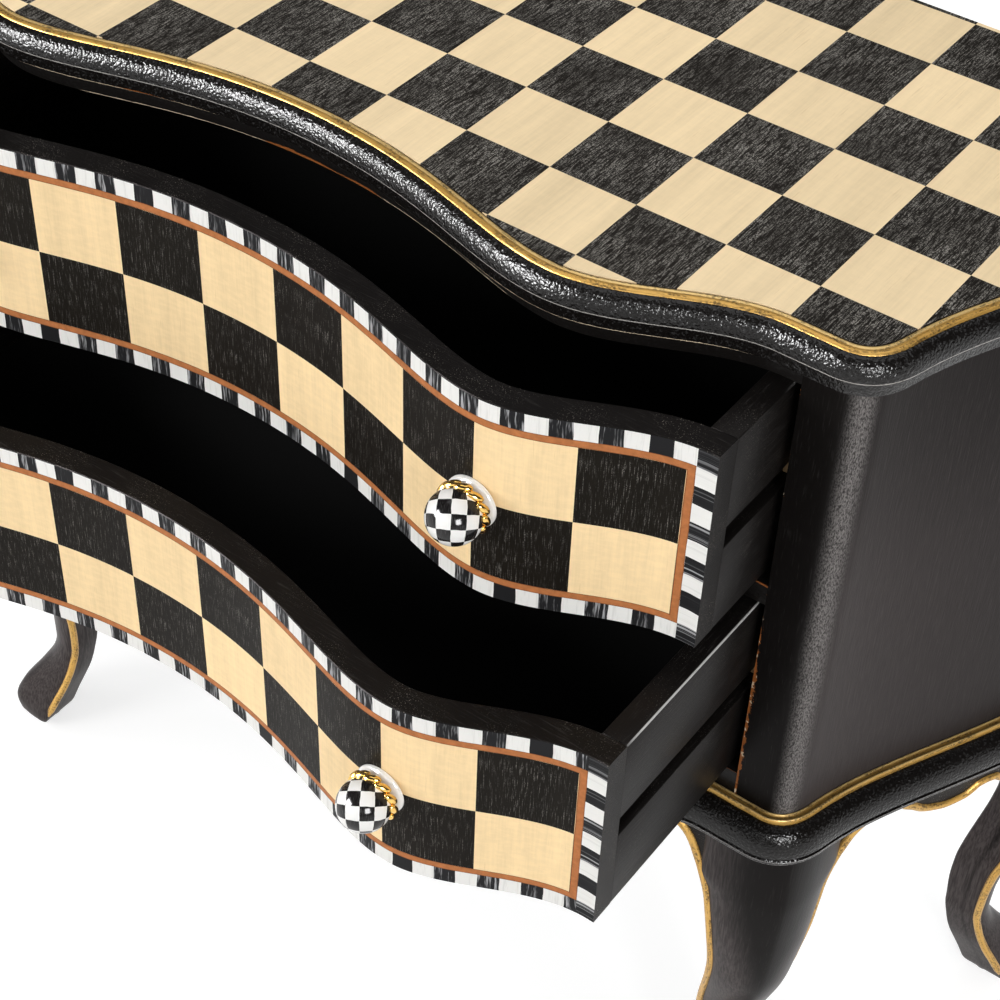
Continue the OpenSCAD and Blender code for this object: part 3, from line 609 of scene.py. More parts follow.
def half_side_curve(sizes):
    """The corner and the side, from the front to the back, as (x, depth behind the corners)."""
    x, back, r, depth = sizes.half_front, sizes.half_back, sizes.corner_r, BACK_Y - FRONT_Y
    lean, corner_depth, run, flat = 0.25, 0.022, 0.097, 0.150
    corner = [(x - r, 0), (x - 0.48 * r, 0), (x - 0.014 * lean, corner_depth - 0.014), (x, corner_depth)]
    side = [(x, corner_depth), (x + run * lean, corner_depth + run), (back, depth - flat), (back, depth)]
    return [np.array(corner[0])] + bezier(corner, 16) + bezier(side, 36)


def both_sides(half):
    """A symmetric path from its left end round the front to its right end, in the row frame."""
    right = [(p[0], FRONT_Y + p[1]) for p in half]
    return [(-x, y) for x, y in reversed(right)] + right[1:]


def case_path(sizes):
    return both_sides(half_front_curve(sizes) + half_side_curve(sizes))


def front_path(sizes, half_width):
    return both_sides(half_front_curve(sizes) + [np.array((half_width, 0.0))])


def outward(path):
    """The outward unit normal at each point of a path."""
    p = np.array(path, float)
    t = np.gradient(p, axis=0)
    t[0], t[-1] = p[1] - p[0], p[-1] - p[-2]
    n = np.column_stack([t[:, 1], -t[:, 0]])
    return n / np.linalg.norm(n, axis=1)[:, None]


def offset(path, distance):
    return np.array(path) + distance * outward(path)


def side_offset(sizes, distance):
    """The curve of the corner and the side, moved outwards and ending square to the back."""
    curve = np.array(half_side_curve(sizes))
    normal = outward(curve)
    normal[-1] = (1, 0)
    return curve + distance * normal


def smooth_lookup(at, rows):
    """Columns of rows at a place along their first column, on a smooth curve that doesn't overshoot."""
    rows = np.array(rows, float)
    x, y = rows[:, 0], rows[:, 1:]
    slope = np.diff(y, axis=0) / np.diff(x)[:, None]
    tangent = np.zeros_like(y)
    same = slope[1:] * slope[:-1] > 0
    steady = 2 * slope[1:] * slope[:-1] / np.where(same, slope[1:] + slope[:-1], 1.0)
    tangent[1:-1] = np.where(same, steady, 0.0)
    tangent[0], tangent[-1] = slope[0], slope[-1]
    i = int(np.clip(np.searchsorted(x, at) - 1, 0, len(x) - 2))
    h = x[i + 1] - x[i]
    s = (at - x[i]) / h
    return (
        (1 + 2 * s) * (1 - s) ** 2 * y[i] + s * (1 - s) ** 2 * h * tangent[i]
        + s * s * (3 - 2 * s) * y[i + 1] + s * s * (s - 1) * h * tangent[i + 1]
    )


# ---- Meshes and pieces ----
def put_object(name, data):
    """Puts mesh, curve, lamp or camera data into the scene."""
    holder = bpy.data.objects.new(name, data)
    bpy.context.scene.collection.objects.link(holder)
    return holder


def smooth_up_to(mesh, angle_deg):
    mesh.shade_smooth()
    mesh.set_sharp_from_angle(angle=math.radians(angle_deg))


def mesh_from(work, name):
    """Ends bmesh work in a mesh."""
    mesh = bpy.data.meshes.new(name)
    work.to_mesh(mesh)
    work.free()
    return mesh


def finish_mesh(mesh, angle_deg=32.0, ease=0.0):
    """Points the faces outwards, eases the sharp edges if asked, and shades the mesh smoothly up to an angle."""
    work = bmesh.new()
    work.from_mesh(mesh)
    bmesh.ops.recalc_face_normals(work, faces=work.faces)
    if ease:
        sharp = [e for e in work.edges if len(e.link_faces) == 2 and e.calc_face_angle(0.0) > math.radians(40)]
        bmesh.ops.bevel(work, geom=sharp, offset=ease, segments=2, profile=0.5, affect="EDGES", clamp_overlap=True)
    work.to_mesh(mesh)
    work.free()
    smooth_up_to(mesh, angle_deg)
    return mesh


def add_piece(mesh, body, nodes=(), materials=()):
    """Makes a finished mesh a piece of the chest, which stands for the nodes. materials go to a mesh that has none."""
    for material in materials:
        mesh.materials.append(material)
    piece = put_object(mesh.name, mesh)
    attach(piece, body)
    if nodes:
        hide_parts(*nodes)


def prism(name, outline, low, high):
    """A board with an upright edge, from its outline seen from above."""
    work = bmesh.new()
    bottom = [work.verts.new((x, y, low)) for x, y in outline]
    top = [work.verts.new((x, y, high)) for x, y in outline]
    work.faces.new(bottom)
    work.faces.new(top)
    for i in range(len(outline)):
        j = (i + 1) % len(outline)
        work.faces.new((bottom[i], bottom[j], top[j], top[i]))
    return finish_mesh(mesh_from(work, name))


def loft(name, rings):
    """A skin through rings of points, closed at both ends."""
    count, size = len(rings), len(rings[0])
    faces = [
        (i * size + j, i * size + (j + 1) % size, (i + 1) * size + (j + 1) % size, (i + 1) * size + j)
        for i in range(count - 1) for j in range(size)
    ]
    faces += [tuple(range(size)), tuple((count - 1) * size + j for j in range(size))]
    mesh = bpy.data.meshes.new(name)
    mesh.from_pydata([tuple(map(float, p)) for ring in rings for p in ring], [], faces)
    return mesh


def poly_curve(name, points, cyclic=False, radii=None):
    curve = bpy.data.curves.new(name, "CURVE")
    curve.dimensions = "3D"
    line = curve.splines.new("POLY")
    line.points.add(len(points) - 1)
    for i, (point, place) in enumerate(zip(line.points, points)):
        point.co = (*place, 1.0)
        point.radius = radii[i] if radii else 1.0
    line.use_cyclic_u = cyclic
    return put_object(name, curve)


class GeometryTree(Tree):
    """A Geometry Nodes group with named inputs, and a tree of plain arithmetic within it."""

    def __init__(self, name, inputs):
        tree = bpy.data.node_groups.new(name, "GeometryNodeTree")
        super().__init__(tree, "GeometryNode")
        self.numbers = ShaderTree(tree)
        tree.interface.new_socket("Geometry", in_out="INPUT", socket_type="NodeSocketGeometry")
        self.sockets = {
            key: tree.interface.new_socket(key, in_out="INPUT", socket_type="NodeSocket" + kind).identifier
            for key, kind in inputs.items()
        }
        tree.interface.new_socket("Geometry", in_out="OUTPUT", socket_type="NodeSocketGeometry")
        self.given = tree.nodes.new("NodeGroupInput").outputs

    def end(self, geometry):
        """Ends the tree in Realize Instances and Set Material."""
        real = self.add("RealizeInstances", {0: geometry})
        done = self.add("SetMaterial", {0: real, "Material": self.given["Material"]})
        self.tree.links.new(done, self.tree.nodes.new("NodeGroupOutput").inputs[0])

    def run(self, holder, values, name):
        """The plain mesh that the group makes of an object, which is then removed."""
        modifier = holder.modifiers.new("build", "NODES")
        modifier.node_group = self.tree
        for key, value in values.items():
            modifier[self.sockets[key]] = value
        depsgraph = bpy.context.evaluated_depsgraph_get()
        mesh = bpy.data.meshes.new_from_object(holder.evaluated_get(depsgraph))
        mesh.name = name
        holder.modifiers.remove(modifier)
        bpy.data.objects.remove(holder)
        return mesh


def path_tree(level):
    """Carries a closed profile along a path, with a map of metres along and round it.
    On a level path the profile stands upright, with its X outwards and its Y down."""
    tree = GeometryTree("follow_path", {"Profile": "Object", "Middle": "Float", "Material": "Material"})
    path = tree.add("SetCurveNormal", {0: tree.given["Geometry"]}, mode="Z_UP" if level else "MINIMUM_TWIST")
    shape = tree.add("ObjectInfo", {"Object": tree.given["Profile"]}, out="Geometry")
    measured = []
    for curve in (path, shape):
        capture = tree.add("CaptureAttribute", out=None)
        capture.capture_items.new("FLOAT", "Length")
        tree.put(capture.inputs[0], curve)
        tree.put(capture.inputs[1], tree.add("SplineParameter", out="Length"))
        measured.append(capture.outputs)
    (path, along), (shape, round_) = (outputs[:2] for outputs in measured)
    body = tree.add("CurveToMesh", {0: path, 1: shape, "Scale": tree.add("InputRadius"), "Fill Caps": True})
    strip = tree.numbers.vector(tree.numbers.math("SUBTRACT", along, tree.given["Middle"]), round_)
    mapped = tree.add(
        "StoreNamedAttribute", {0: body, "Name": "UVMap", "Value": strip}, data_type="FLOAT2", domain="CORNER"
    )
    tree.end(mapped)
    return tree


TREES = {}


def shared_tree(key, make, *inputs):
    """A tree that is made when a piece first asks for it."""
    if key not in TREES:
        TREES[key] = make(*inputs)
    return TREES[key]


def path_length(points):
    return float(np.linalg.norm(np.diff(np.array(points, float), axis=0), axis=1).sum())


def round_length(profile, index):
    """Length round a profile up to one of its points."""
    return path_length(profile[: index + 1])


def follow(name, path, profile, material, level=True, radii=None, angle_deg=32.0):
    """A moulding or bead along a path of points in the row frame. profile is [(outward, down), ...], closed."""
    tree = shared_tree("level" if level else "free", path_tree, level)
    holder = poly_curve(name + "_path", path, radii=radii)
    shape = poly_curve(name + "_profile", [(u, v, 0.0) for u, v in profile], cyclic=True)
    mesh = tree.run(holder, {"Profile": shape, "Middle": path_length(path) / 2, "Material": material}, name)
    bpy.data.objects.remove(shape)
    smooth_up_to(mesh, angle_deg)
    return mesh


def at_height(path, z):
    return [(x, y, z) for x, y in path]


def arc(cx, cy, rx, ry, start_deg, end_deg, steps):
    """Points of an elliptical arc, as (outward, up)."""
    turns = np.radians(np.linspace(start_deg, end_deg, steps + 1))
    return [(cx + rx * math.cos(a), cy + ry * math.sin(a)) for a in turns]


def downward(points_mm):
    """A profile of (outward, up) in millimetres as (outward, down) in metres."""
    return [(u * MM, -v * MM) for u, v in points_mm]


# ---- Top ----
def build_top(scene):
    sizes, pattern, colours = scene.chest_sizes, scene.chest_pattern, scene.chest_colours
    path = case_path(sizes)
    rim = at_height(path, TOP_Z)
    veneer_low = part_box("top_veneer")[0].z
    board = prism("top_board", path, SLAB_Z, veneer_low)
    add_piece(board, "case", ["top_panel"], [FINISHES["level"]])
    veneer = prism("top_checker_veneer", path, veneer_low, TOP_Z)
    add_piece(veneer, "case", ["top_veneer"], [top_veneer_finish(pattern, colours)])

    # A quarter-round above a fillet and a recessed band
    deep = (TOP_Z - SLAB_Z) / MM
    edge, bead = sizes.edge_w / MM, sizes.bead_w / MM
    lip = edge - 3.4
    points = [(0, -deep / 2), (0, -3), (bead, -3), (bead, -1.2)]
    points += arc(bead, -14.4, edge - bead, 13.2, 86, 0, 22)
    arris = len(points)
    points += [(edge, -15.1), (edge - 0.4, -15.7), (lip + 0.2, -16.3), (lip, -16.9), (lip, -deep + 1.5)]
    low_edge = len(points)
    points += [(lip - 0.4, -deep + 0.5), (lip - 1.4, -deep), (0, -deep)]
    profile = downward(points)
    low = round_length(profile, low_edge)
    # A grey line at the arris under the quarter-round, and pale and red-brown lines along the bottom edge of the band.
    edge_lines = [
        (round_length(profile, arris), 0.0010, 1.0, (0.34, 0.32, 0.30)),
        (low, 0.0014, 0.32, colours.worn),
        (low - 0.0008, 0.0034, 0.0, colours.rubbed),
    ]
    finish = moulding_finish("lacquer_top_edge", colours, edge_lines)
    add_piece(follow("top_edge_ovolo", rim, profile, finish), "case", ["top_edge_moulding"])

    # A narrow roll with a quirk beside it, and a wide one
    points = [(0, -2.9), (0, -0.9), (0.5, -0.95), (0.9, -0.35), (1.6, -0.02), (2.3, -0.02), (2.9, -0.35), (3.3, -0.55)]
    points += [(3.7, -0.35), (4.4, -0.02), (5.4, 0), (6.4, -0.15), (7.3, -0.5), (8.0, -1.1), (8.4, -1.9), (bead, -2.9)]
    profile = downward(points)
    quirk, *strip = (round_length(profile, index) for index in (2, 3, 8))
    finish = gilt_finish("gilt_top_bead", colours, quirk + 0.0002, strip)
    add_piece(follow("top_edge_bead", rim, profile, finish), "case", ["top_gilt_bead"])


# ---- Case ----
def case_side_outline(sizes, side):
    """The corner post and the side panel in one, with the curve of the plan outside."""
    groove, clear = 0.060, 0.004
    curve = [tuple(p) for p in half_side_curve(sizes)]
    inner = [tuple(p) for p in side_offset(sizes, -sizes.side_t) if p[1] > groove]
    inside = float(np.interp(groove, [p[1] for p in curve], [p[0] for p in curve])) - sizes.side_t
    shelf = inside - clear
    ring = [(sizes.half_opening, 0.0)] + curve + inner[::-1]
    ring += [(inside, groove), (shelf, groove), (shelf, sizes.post_d), (sizes.half_opening, sizes.post_d)]
    return [(side * x, FRONT_Y + y) for x, y in ring]


def rail_profile(height, depth, ease=0.001):
    """A rail with eased front edges, from the middle of its back face round, as (outward, down) from its top."""
    front = [(-ease, 0.0), (-ease * 0.3, ease * 0.3), (0.0, ease)]
    low = [(0.0, height - ease), (-ease * 0.3, height - ease * 0.3), (-ease, height)]
    return [(-depth, height / 2), (-depth, 0.0)] + front + low + [(-depth, height)]


def build_case(scene):
    sizes, colours = scene.chest_sizes, scene.chest_colours
    for name, side in SIDES:
        board = prism(f"{name}_case_side", case_side_outline(sizes, side), BASE_TOP, SLAB_Z)
        nodes = [f"{name}_side_panel", f"{name}_corner_post"]
        add_piece(board, "case", nodes, [FINISHES["upright"]])
    path = front_path(sizes, sizes.half_opening)
    for name, share in (("top", 0.55), ("divider", 0.25), ("bottom", 0.25)):
        low, high = (corner.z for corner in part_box(f"{name}_rail"))
        profile = rail_profile(high - low, sizes.rail_d)
        upper_edge, lower_edge = round_length(profile, 3), round_length(profile, 6)
        edge_lines = [
            (lower_edge, 0.0016, share, colours.worn),
            (lower_edge - 0.0006, 0.0034, share * 0.25, colours.rubbed),
            (upper_edge, 0.0014, 0.12, colours.rubbed),
        ]
        finish = moulding_finish(f"lacquer_{name}_rail", colours, edge_lines, sparkle=0.3, roughness=0.38, specular=0.12)
        rail = follow(f"{name}_front_rail", at_height(path, high), profile, finish)
        add_piece(rail, "case", [f"{name}_rail"])


# ---- Base and aprons ----
# Distance from the end and drop of the lower edge of the front apron, in millimetres, from a leg to the middle
APRON_EDGE = [
    (0, 51), (6, 37), (11, 27), (16, 22), (25, 15), (34, 15), (40, 21), (47, 26), (54, 32), (64, 37), (76, 40),
    (89, 39), (95, 36), (100, 32), (107, 31), (114, 32), (120, 37), (132, 40), (156, 37), (200, 26), (240, 23),
    (280, 28), (312, 38), (351, 42),
]
CUSP_AT = 107 * MM
APRON_SOFT = 0.0012
BEAD_LIFT = 0.0030


def apron_drop(distance):
    """Drop of an apron's lower edge below the base board, by the distance from the nearest leg."""
    return float(smooth_lookup(distance / MM, APRON_EDGE)[0]) * MM


def leg_edge(side, back, hand):
    """The line of a gilt bead up one arris of a leg, from above the foot to the knee, with its share of the radius."""
    points, radii = [], []
    for share in np.linspace(0.040, 0.855, 88):
        arris, _, wide = leg_section(share)
        points.append(leg_place((arris - 0.5, hand * (wide - 0.2), leg_height(share)), side, back))
        radii.append(float(np.interp(share, [0.040, 0.060], [0.30, 0.92])))
    return points, radii


def eased_joints(points, joints, reach=7, rounds=10):
    """The points of a line with its joints rounded off."""
    line = np.array(points, float)
    for _ in range(rounds):
        for joint in joints:
            near, before, after = (slice(joint - reach + i, joint + reach + i) for i in (0, -1, 1))
            line[near] = (line[before] + 2 * line[near] + line[after]) / 4
    return [tuple(map(float, p)) for p in line]


def apron_pieces(name, stations, first, last, scene):
    """An apron with a curved lower edge, and the bead under it and down the legs at its ends.
    stations are (outer point, inner point, drop), and first and last are the leg_edge places of the two legs."""
    rings, bead = [], []
    for outer, inner, drop in stations:
        o, i = Vector(outer), Vector(inner)
        soft = o - (o - i).normalized() * APRON_SOFT
        low = LEG_TOP - drop
        rings.append([(*o, LEG_TOP), (*o, low + APRON_SOFT), (*soft, low), (*i, low), (*i, LEG_TOP)])
        bead.append((*soft, low + BEAD_LIFT))
    board = finish_mesh(loft(name + "_board", rings))
    add_piece(board, "case", [name], [FINISHES["level"]])
    bead = bead[2:-2]
    up, up_radii = leg_edge(*first)
    down, down_radii = leg_edge(*last)
    line = eased_joints(up + bead + down[::-1], [len(up), len(up) + len(bead)])
    radii = up_radii + [1.0] * len(bead) + down_radii[::-1]
    round_bead = circle(scene.chest_sizes.apron_bead / 2, 14)
    mesh = follow(name + "_bead", line, round_bead, FINISHES["gilt"], level=False, radii=radii, angle_deg=60)
    add_piece(mesh, "case")


def build_base(scene):
    sizes, colours = scene.chest_sizes, scene.chest_colours
    path = case_path(sizes)
    rim = at_height(path, BASE_TOP)
    board = prism("base_panel", path, LEG_TOP, BASE_TOP)
    add_piece(board, "case", ["base_board"], [FINISHES["level"]])

    # A quarter-round, a hollow and a band
    deep = (BASE_TOP - LEG_TOP) / MM
    edge, bead = sizes.base_edge_w / MM, sizes.base_bead_w / MM
    shoulder = deep - 8
    points = [(0, -deep / 2), (0, -3), (bead, -3)]
    points += arc(bead, -shoulder, edge - bead, shoulder - 3, 84, 0, 22)
    points += [(edge, -shoulder - 0.8), (edge - 0.9, -shoulder - 1.6), (edge - 1.7, -shoulder - 2.0)]
    points += [(edge - 1.8, -shoulder - 2.8), (edge - 1.5, -shoulder - 3.6), (edge - 0.4, -shoulder - 4.4)]
    upper = len(points)
    points += [(edge, -shoulder - 5.0), (edge, -deep + 1.2), (edge - 0.4, -deep + 0.4), (edge - 1.2, -deep), (0, -deep)]
    profile = downward(points)
    # Grey lines along the top and bottom edges of the lower band.
    edge_lines = [
        (round_length(profile, upper), 0.0009, 0.9, (0.20, 0.19, 0.185)),
        (round_length(profile, upper + 2), 0.0012, 0.8, (0.26, 0.24, 0.23)),
    ]
    finish = moulding_finish("lacquer_base_edge", colours, edge_lines, sparkle=0.8, roughness=0.15, specular=0.24)
    add_piece(follow("base_edge_ovolo", rim, profile, finish), "case", ["base_moulding"])

    # Two bright fillets with a shallow hollow between them
    points = [(0, -2.9), (0.05, -0.2), (0.3, 0.9), (0.8, 1.4), (1.4, 1.4), (1.9, 1.0), (2.5, 0.5), (3.6, 0.35)]
    points += [(4.7, 0.5), (5.1, 0.85), (5.5, 1.1), (6.1, 1.05), (6.7, 0.5), (6.95, -0.6), (bead, -2.9)]
    profile = downward(points)
    rails = (round_length(profile, 3) + 0.0004, round_length(profile, 10) + 0.0003)
    finish = gilt_finish("gilt_base_bead", colours, rails=rails)
    add_piece(follow("base_edge_bead", rim, profile, finish), "case", ["base_gilt_bead"])

    # Front apron
    line = front_path(sizes, sizes.half_opening)
    outer, inner = offset(line, sizes.apron_proud), offset(line, sizes.apron_proud - sizes.apron_t)
    half = FRONT_LEG_AT[0] - LEG_REACH
    stations = []
    for x in np.linspace(-half, half, 281):
        pair = [(x, np.interp(x, *face.T)) for face in (outer, inner)]
        stations.append((*pair, apron_drop(half - abs(x))))
    apron_pieces("front_apron", stations, (-1, False, -1), (1, False, -1), scene)

    # Side aprons, which draw in to meet the legs
    start, end = FRONT_LEG_AT[1] + LEG_REACH, BACK_LEG_AT[1] - LEG_REACH
    span = end - start
    for name, side in SIDES:
        stations = []
        for d in np.linspace(0, span, 141):
            near = min(d, span - d)
            out = float(np.interp(near, [0, 0.0175, 0.035], [-0.001, sizes.apron_proud - 0.002, sizes.apron_proud]))
            pair = []
            for reach in (out, out - sizes.apron_t):
                x, depth = side_offset(sizes, reach).T
                pair.append((side * float(np.interp(start + d - FRONT_Y, depth, x)), start + d))
            stations.append((*pair, apron_drop(min(near * 2 * CUSP_AT / span, CUSP_AT))))
        apron_pieces(f"{name}_apron", stations, (side, False, 1), (side, True, -1), scene)


# ---- Legs ----
# Share of the height, line through the arrises, outer face, and half width as a share of the knee's
LEG_SECTIONS = [
    (0.000, -23.5, -14, 0.42), (0.009, -24.6, -8, 0.49), (0.023, -26, -1, 0.56), (0.051, -30, 1, 0.58),
    (0.093, -39, -7, 0.56), (0.139, -49.5, -25, 0.52), (0.186, -57.5, -40, 0.47), (0.244, -63, -46, 0.45),
    (0.302, -63.5, -46, 0.48), (0.371, -61.5, -42, 0.51), (0.425, -56, -33, 0.54), (0.476, -49, -24, 0.57),
    (0.547, -39.5, -12, 0.61), (0.601, -35, -6, 0.64), (0.689, -33, -1, 0.735), (0.761, -35, 2, 0.81),
    (0.821, -37, 4, 0.88), (0.870, -38, 5, 1.00), (1.000, -38, 5, 1.00),
]
# Share of the height and how much rounder than an ellipse the outer face is
LEG_ROUNDNESS = [(0, 1), (0.35, 1.1), (0.75, 1.35), (1, 1.35)]
KNEE_HALF_MM = 51
GLIDE_MM = 3.0
# Half width of the blunt inner corner, as a share of the leg's half width
INNER_CORNER = 0.06
CORNER_POINTS = 4
FACE_POINTS = 29


def leg_section(share):
    """(arris, outer face, half width) of a leg at a share of its height, in millimetres."""
    arris, face, wide = smooth_lookup(share, LEG_SECTIONS)
    return arris, face, wide * KNEE_HALF_MM


def leg_height(share):
    """Height above the floor at a share of a leg's height, in millimetres."""
    return GLIDE_MM + share * (LEG_TOP / MM - GLIDE_MM)


def leg_place(local, side, back):
    """A point of a leg, given in millimetres outwards from its corner, across it and up, in the row frame."""
    at = BACK_LEG_AT if back else FRONT_LEG_AT
    turn = math.radians(45 if back else -45)
    x, y, z = (part * MM for part in local)
    wx = at[0] + x * math.cos(turn) - y * math.sin(turn)
    wy = at[1] + x * math.sin(turn) + y * math.cos(turn)
    return side * wx, wy, z


def leg_ring(share):
    """The outline of a leg at a share of its height: its inner corner, and its outer face from arris to arris.
    Near the knee only the arrises flare, so that the face stays smooth."""
    arris, face, wide = leg_section(share)
    z = leg_height(share)
    roundness = float(np.interp(share, *zip(*LEG_ROUNDNESS)))
    core = min(wide, KNEE_HALF_MM * (0.81 + 0.55 * (share - 0.761)))
    nook, blunt = arris - wide * (1 - INNER_CORNER), wide * INNER_CORNER
    corner = [(0.8, -blunt - 0.8), (0, -blunt * 0.4), (0, blunt * 0.4), (0.8, blunt + 0.8)]
    ring = [(nook + x, y, z) for x, y in corner]
    for t in np.radians(np.linspace(90, -90, FACE_POINTS)):
        c, s = max(math.cos(t), 0.0), math.sin(t)
        out = core * abs(s) ** roundness + (wide - core) * abs(s) ** 8
        ring.append((arris + (face - arris) * c**roundness, math.copysign(out, s), z))
    return ring


def build_legs(scene):
    shares = np.concatenate([np.linspace(0, 0.1, 13), np.linspace(0.1, 1, 62)[1:]])
    half_face = (FACE_POINTS - 1) / 2
    for name in LEGS:
        back, side = name.startswith("back"), -1 if name.endswith("left") else 1
        rings = [[leg_place(point, side, back) for point in leg_ring(share)] for share in shares]
        mesh = finish_mesh(loft(name + "_cabriole", rings), angle_deg=38)
        # The map gives the place across the face, from -1 to 1 between the arrises, and the share of the height
        layer = mesh.uv_layers.new(name="UVMap")
        for loop in mesh.loops:
            ring, at = divmod(loop.vertex_index, len(rings[0]))
            layer.data[loop.index].uv = (np.clip((at - CORNER_POINTS) / half_face - 1, -1, 1), float(shares[ring]))
        add_piece(mesh, "case", [name + "_leg"], [FINISHES["leg"]])


# ---- Drawers ----
def eased_copy(node, body, finish):
    """A copy of a board of the frame with its sharp edges eased, which stands for the node."""
    work = bmesh.new()
    work.from_mesh(frame["nodes"][node].data)
    bmesh.ops.remove_doubles(work, verts=work.verts, dist=1e-6)
    bmesh.ops.dissolve_limit(work, angle_limit=math.radians(0.5), verts=work.verts, edges=work.edges)
    mesh = mesh_from(work, node + "_board")
    add_piece(finish_mesh(mesh, ease=0.0007), body, [node], [FINISHES[finish]])


def build_drawers(scene):
    sizes, pattern, colours = scene.chest_sizes, scene.chest_pattern, scene.chest_colours
    line = front_path(sizes, sizes.half_drawer)
    soft, thin, thick, high = 0.0006, sizes.veneer_t, sizes.front_t, sizes.drawer_h
    face = [(-thin, high / 2), (-thin, 0.0), (-soft, 0.0), (0.0, soft)]
    face += [(0.0, high - soft), (-soft, high), (-thin, high)]
    core = [(-thick, high / 2), (-thick, soft), (-thick + soft, 0.0), (-thin, 0.0)]
    core += [(-thin, high), (-thick + soft, high), (-thick, high - soft)]
    lip = round_length(face, 3) - soft
    finish = drawer_veneer_finish(sizes, pattern, colours, path_length(line) / 2, lip)
    for drawer in DRAWERS:
        body = f"{drawer}_drawer"
        low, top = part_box(f"{drawer}_front_veneer")
        shift = low.y + sizes.bulge - FRONT_Y
        path = [(x, y + shift, top.z) for x, y in line]
        mesh = follow(f"{drawer}_checker_front", path, face, finish)
        mesh.materials.append(FINISHES["level"])
        for polygon in mesh.polygons:
            polygon.material_index = 0 if polygon.normal.y < -0.3 and abs(polygon.normal.z) < 0.3 else 1
        add_piece(mesh, body, [f"{drawer}_front_veneer"])
        board = follow(f"{drawer}_front_board", path, core, FINISHES["level"])
        add_piece(board, body, [f"{drawer}_front"])
        for part, finish_of_part in (("left_side", "deep"), ("right_side", "deep"), ("back", "level")):
            eased_copy(f"{drawer}_{part}", body, finish_of_part)


# ---- Knobs ----
# Radius and distance from the drawer front of the foot and neck of a knob, in millimetres
KNOB_FOOT = [
    (17.6, 0.0), (18.4, 0.5), (18.5, 1.3), (18.3, 2.1), (17.4, 3.1), (16.0, 4.0), (14.5, 4.9), (13.2, 5.5),
    (12.8, 6.2), (12.8, 10.5),
]
BALL_AT = 0.018
BALL_START = 0.0106
RING_AT = 0.0092
KNOB_SEGMENTS = 72
CHECK_TOWARDS = Vector((0.415, -0.599, 0.685)).normalized()
CHECK_TURN = math.radians(31)
CHECK_SHIFT = (0.15, -0.15)


def circle(radius, steps):
    return [(radius * math.cos(a), radius * math.sin(a)) for a in (2 * math.pi * i / steps for i in range(steps))]


def ring_tree():
    """Beads round each point of a mesh, on rings that face -Y."""
    sizes = ("Ring Radius", "Bead Radius", "Bead Length", "Tilt")
    tree = GeometryTree("bead_ring", {**dict.fromkeys(sizes, "Float"), "Count": "Int", "Material": "Material"})
    given = tree.given
    ring = tree.add("CurvePrimitiveCircle", {"Resolution": 96, "Radius": given["Ring Radius"]})
    points = tree.add("CurveToPoints", {0: ring, "Count": given["Count"]}, out=None, mode="COUNT").outputs
    size = tree.numbers.vector(given["Bead Radius"], given["Bead Radius"], given["Bead Length"])
    ball = tree.add("MeshUVSphere", {"Segments": 16, "Rings": 10, "Radius": 1.0})
    bead = tree.add("Transform", {0: ball, "Scale": size})
    turns = Tree(tree.tree, "FunctionNode")
    lean = turns.add("AxisAngleToRotation", {"Axis": (1.0, 0.0, 0.0), "Angle": given["Tilt"]})
    turned = turns.add("RotateRotation", {0: points["Rotation"], 1: lean}, rotation_space="LOCAL")
    beads = tree.add("InstanceOnPoints", {0: points[0], "Instance": bead, "Rotation": turned})
    whole = tree.add("RealizeInstances", {0: beads})
    facing = {0: given["Geometry"], "Instance": whole, "Rotation": (math.radians(90), 0.0, 0.0)}
    tree.end(tree.add("InstanceOnPoints", facing))
    return tree


def check_place(direction):
    """Where a direction from the middle of a knob falls on its checks, counted in squares."""
    right = Vector((0, 0, 1)).cross(CHECK_TOWARDS).normalized()
    up = CHECK_TOWARDS.cross(right)
    d = direction.normalized()
    far = math.acos(max(-1.0, min(1.0, d.dot(CHECK_TOWARDS)))) / CHECK_TURN
    a, b = d.dot(right), d.dot(up)
    reach = math.hypot(a, b) or 1.0
    return far * a / reach + CHECK_SHIFT[0], far * b / reach + CHECK_SHIFT[1]


def knob_mesh(name, seat, radius):
    """A knob turned round its axis, from the middle of its seat on the drawer front outwards."""
    start = math.asin((BALL_AT - BALL_START) / radius)
    turns = np.linspace(-start, math.radians(90), 34)[:-1]
    outline = [(r * MM, d * MM) for r, d in KNOB_FOOT]
    outline += [(radius * math.cos(a), BALL_AT + radius * math.sin(a)) for a in turns]
    work = bmesh.new()
    rings = [
        [work.verts.new(seat + Vector((x, -d, z))) for x, z in circle(r, KNOB_SEGMENTS)] for r, d in outline
    ]
    tip = work.verts.new(seat + Vector((0, -BALL_AT - radius, 0)))
    heel = work.verts.new(seat)
    around = [(k, (k + 1) % KNOB_SEGMENTS) for k in range(KNOB_SEGMENTS)]
    for j, (a, b) in enumerate(zip(rings, rings[1:])):
        for k, n in around:
            work.faces.new((a[k], a[n], b[n], b[k])).material_index = 0 if j >= len(KNOB_FOOT) - 1 else 1
    for k, n in around:
        work.faces.new((rings[-1][k], rings[-1][n], tip)).material_index = 0
        work.faces.new((rings[0][n], rings[0][k], heel)).material_index = 1
    bmesh.ops.recalc_face_normals(work, faces=work.faces)
    layer = work.loops.layers.uv.new("UVMap")
    middle = seat - Vector((0, BALL_AT, 0))
    for quad in work.faces:
        for loop in quad.loops:
            loop[layer].uv = check_place(loop.vert.co - middle)
    mesh = mesh_from(work, name)
    smooth_up_to(mesh, 40)
    return mesh


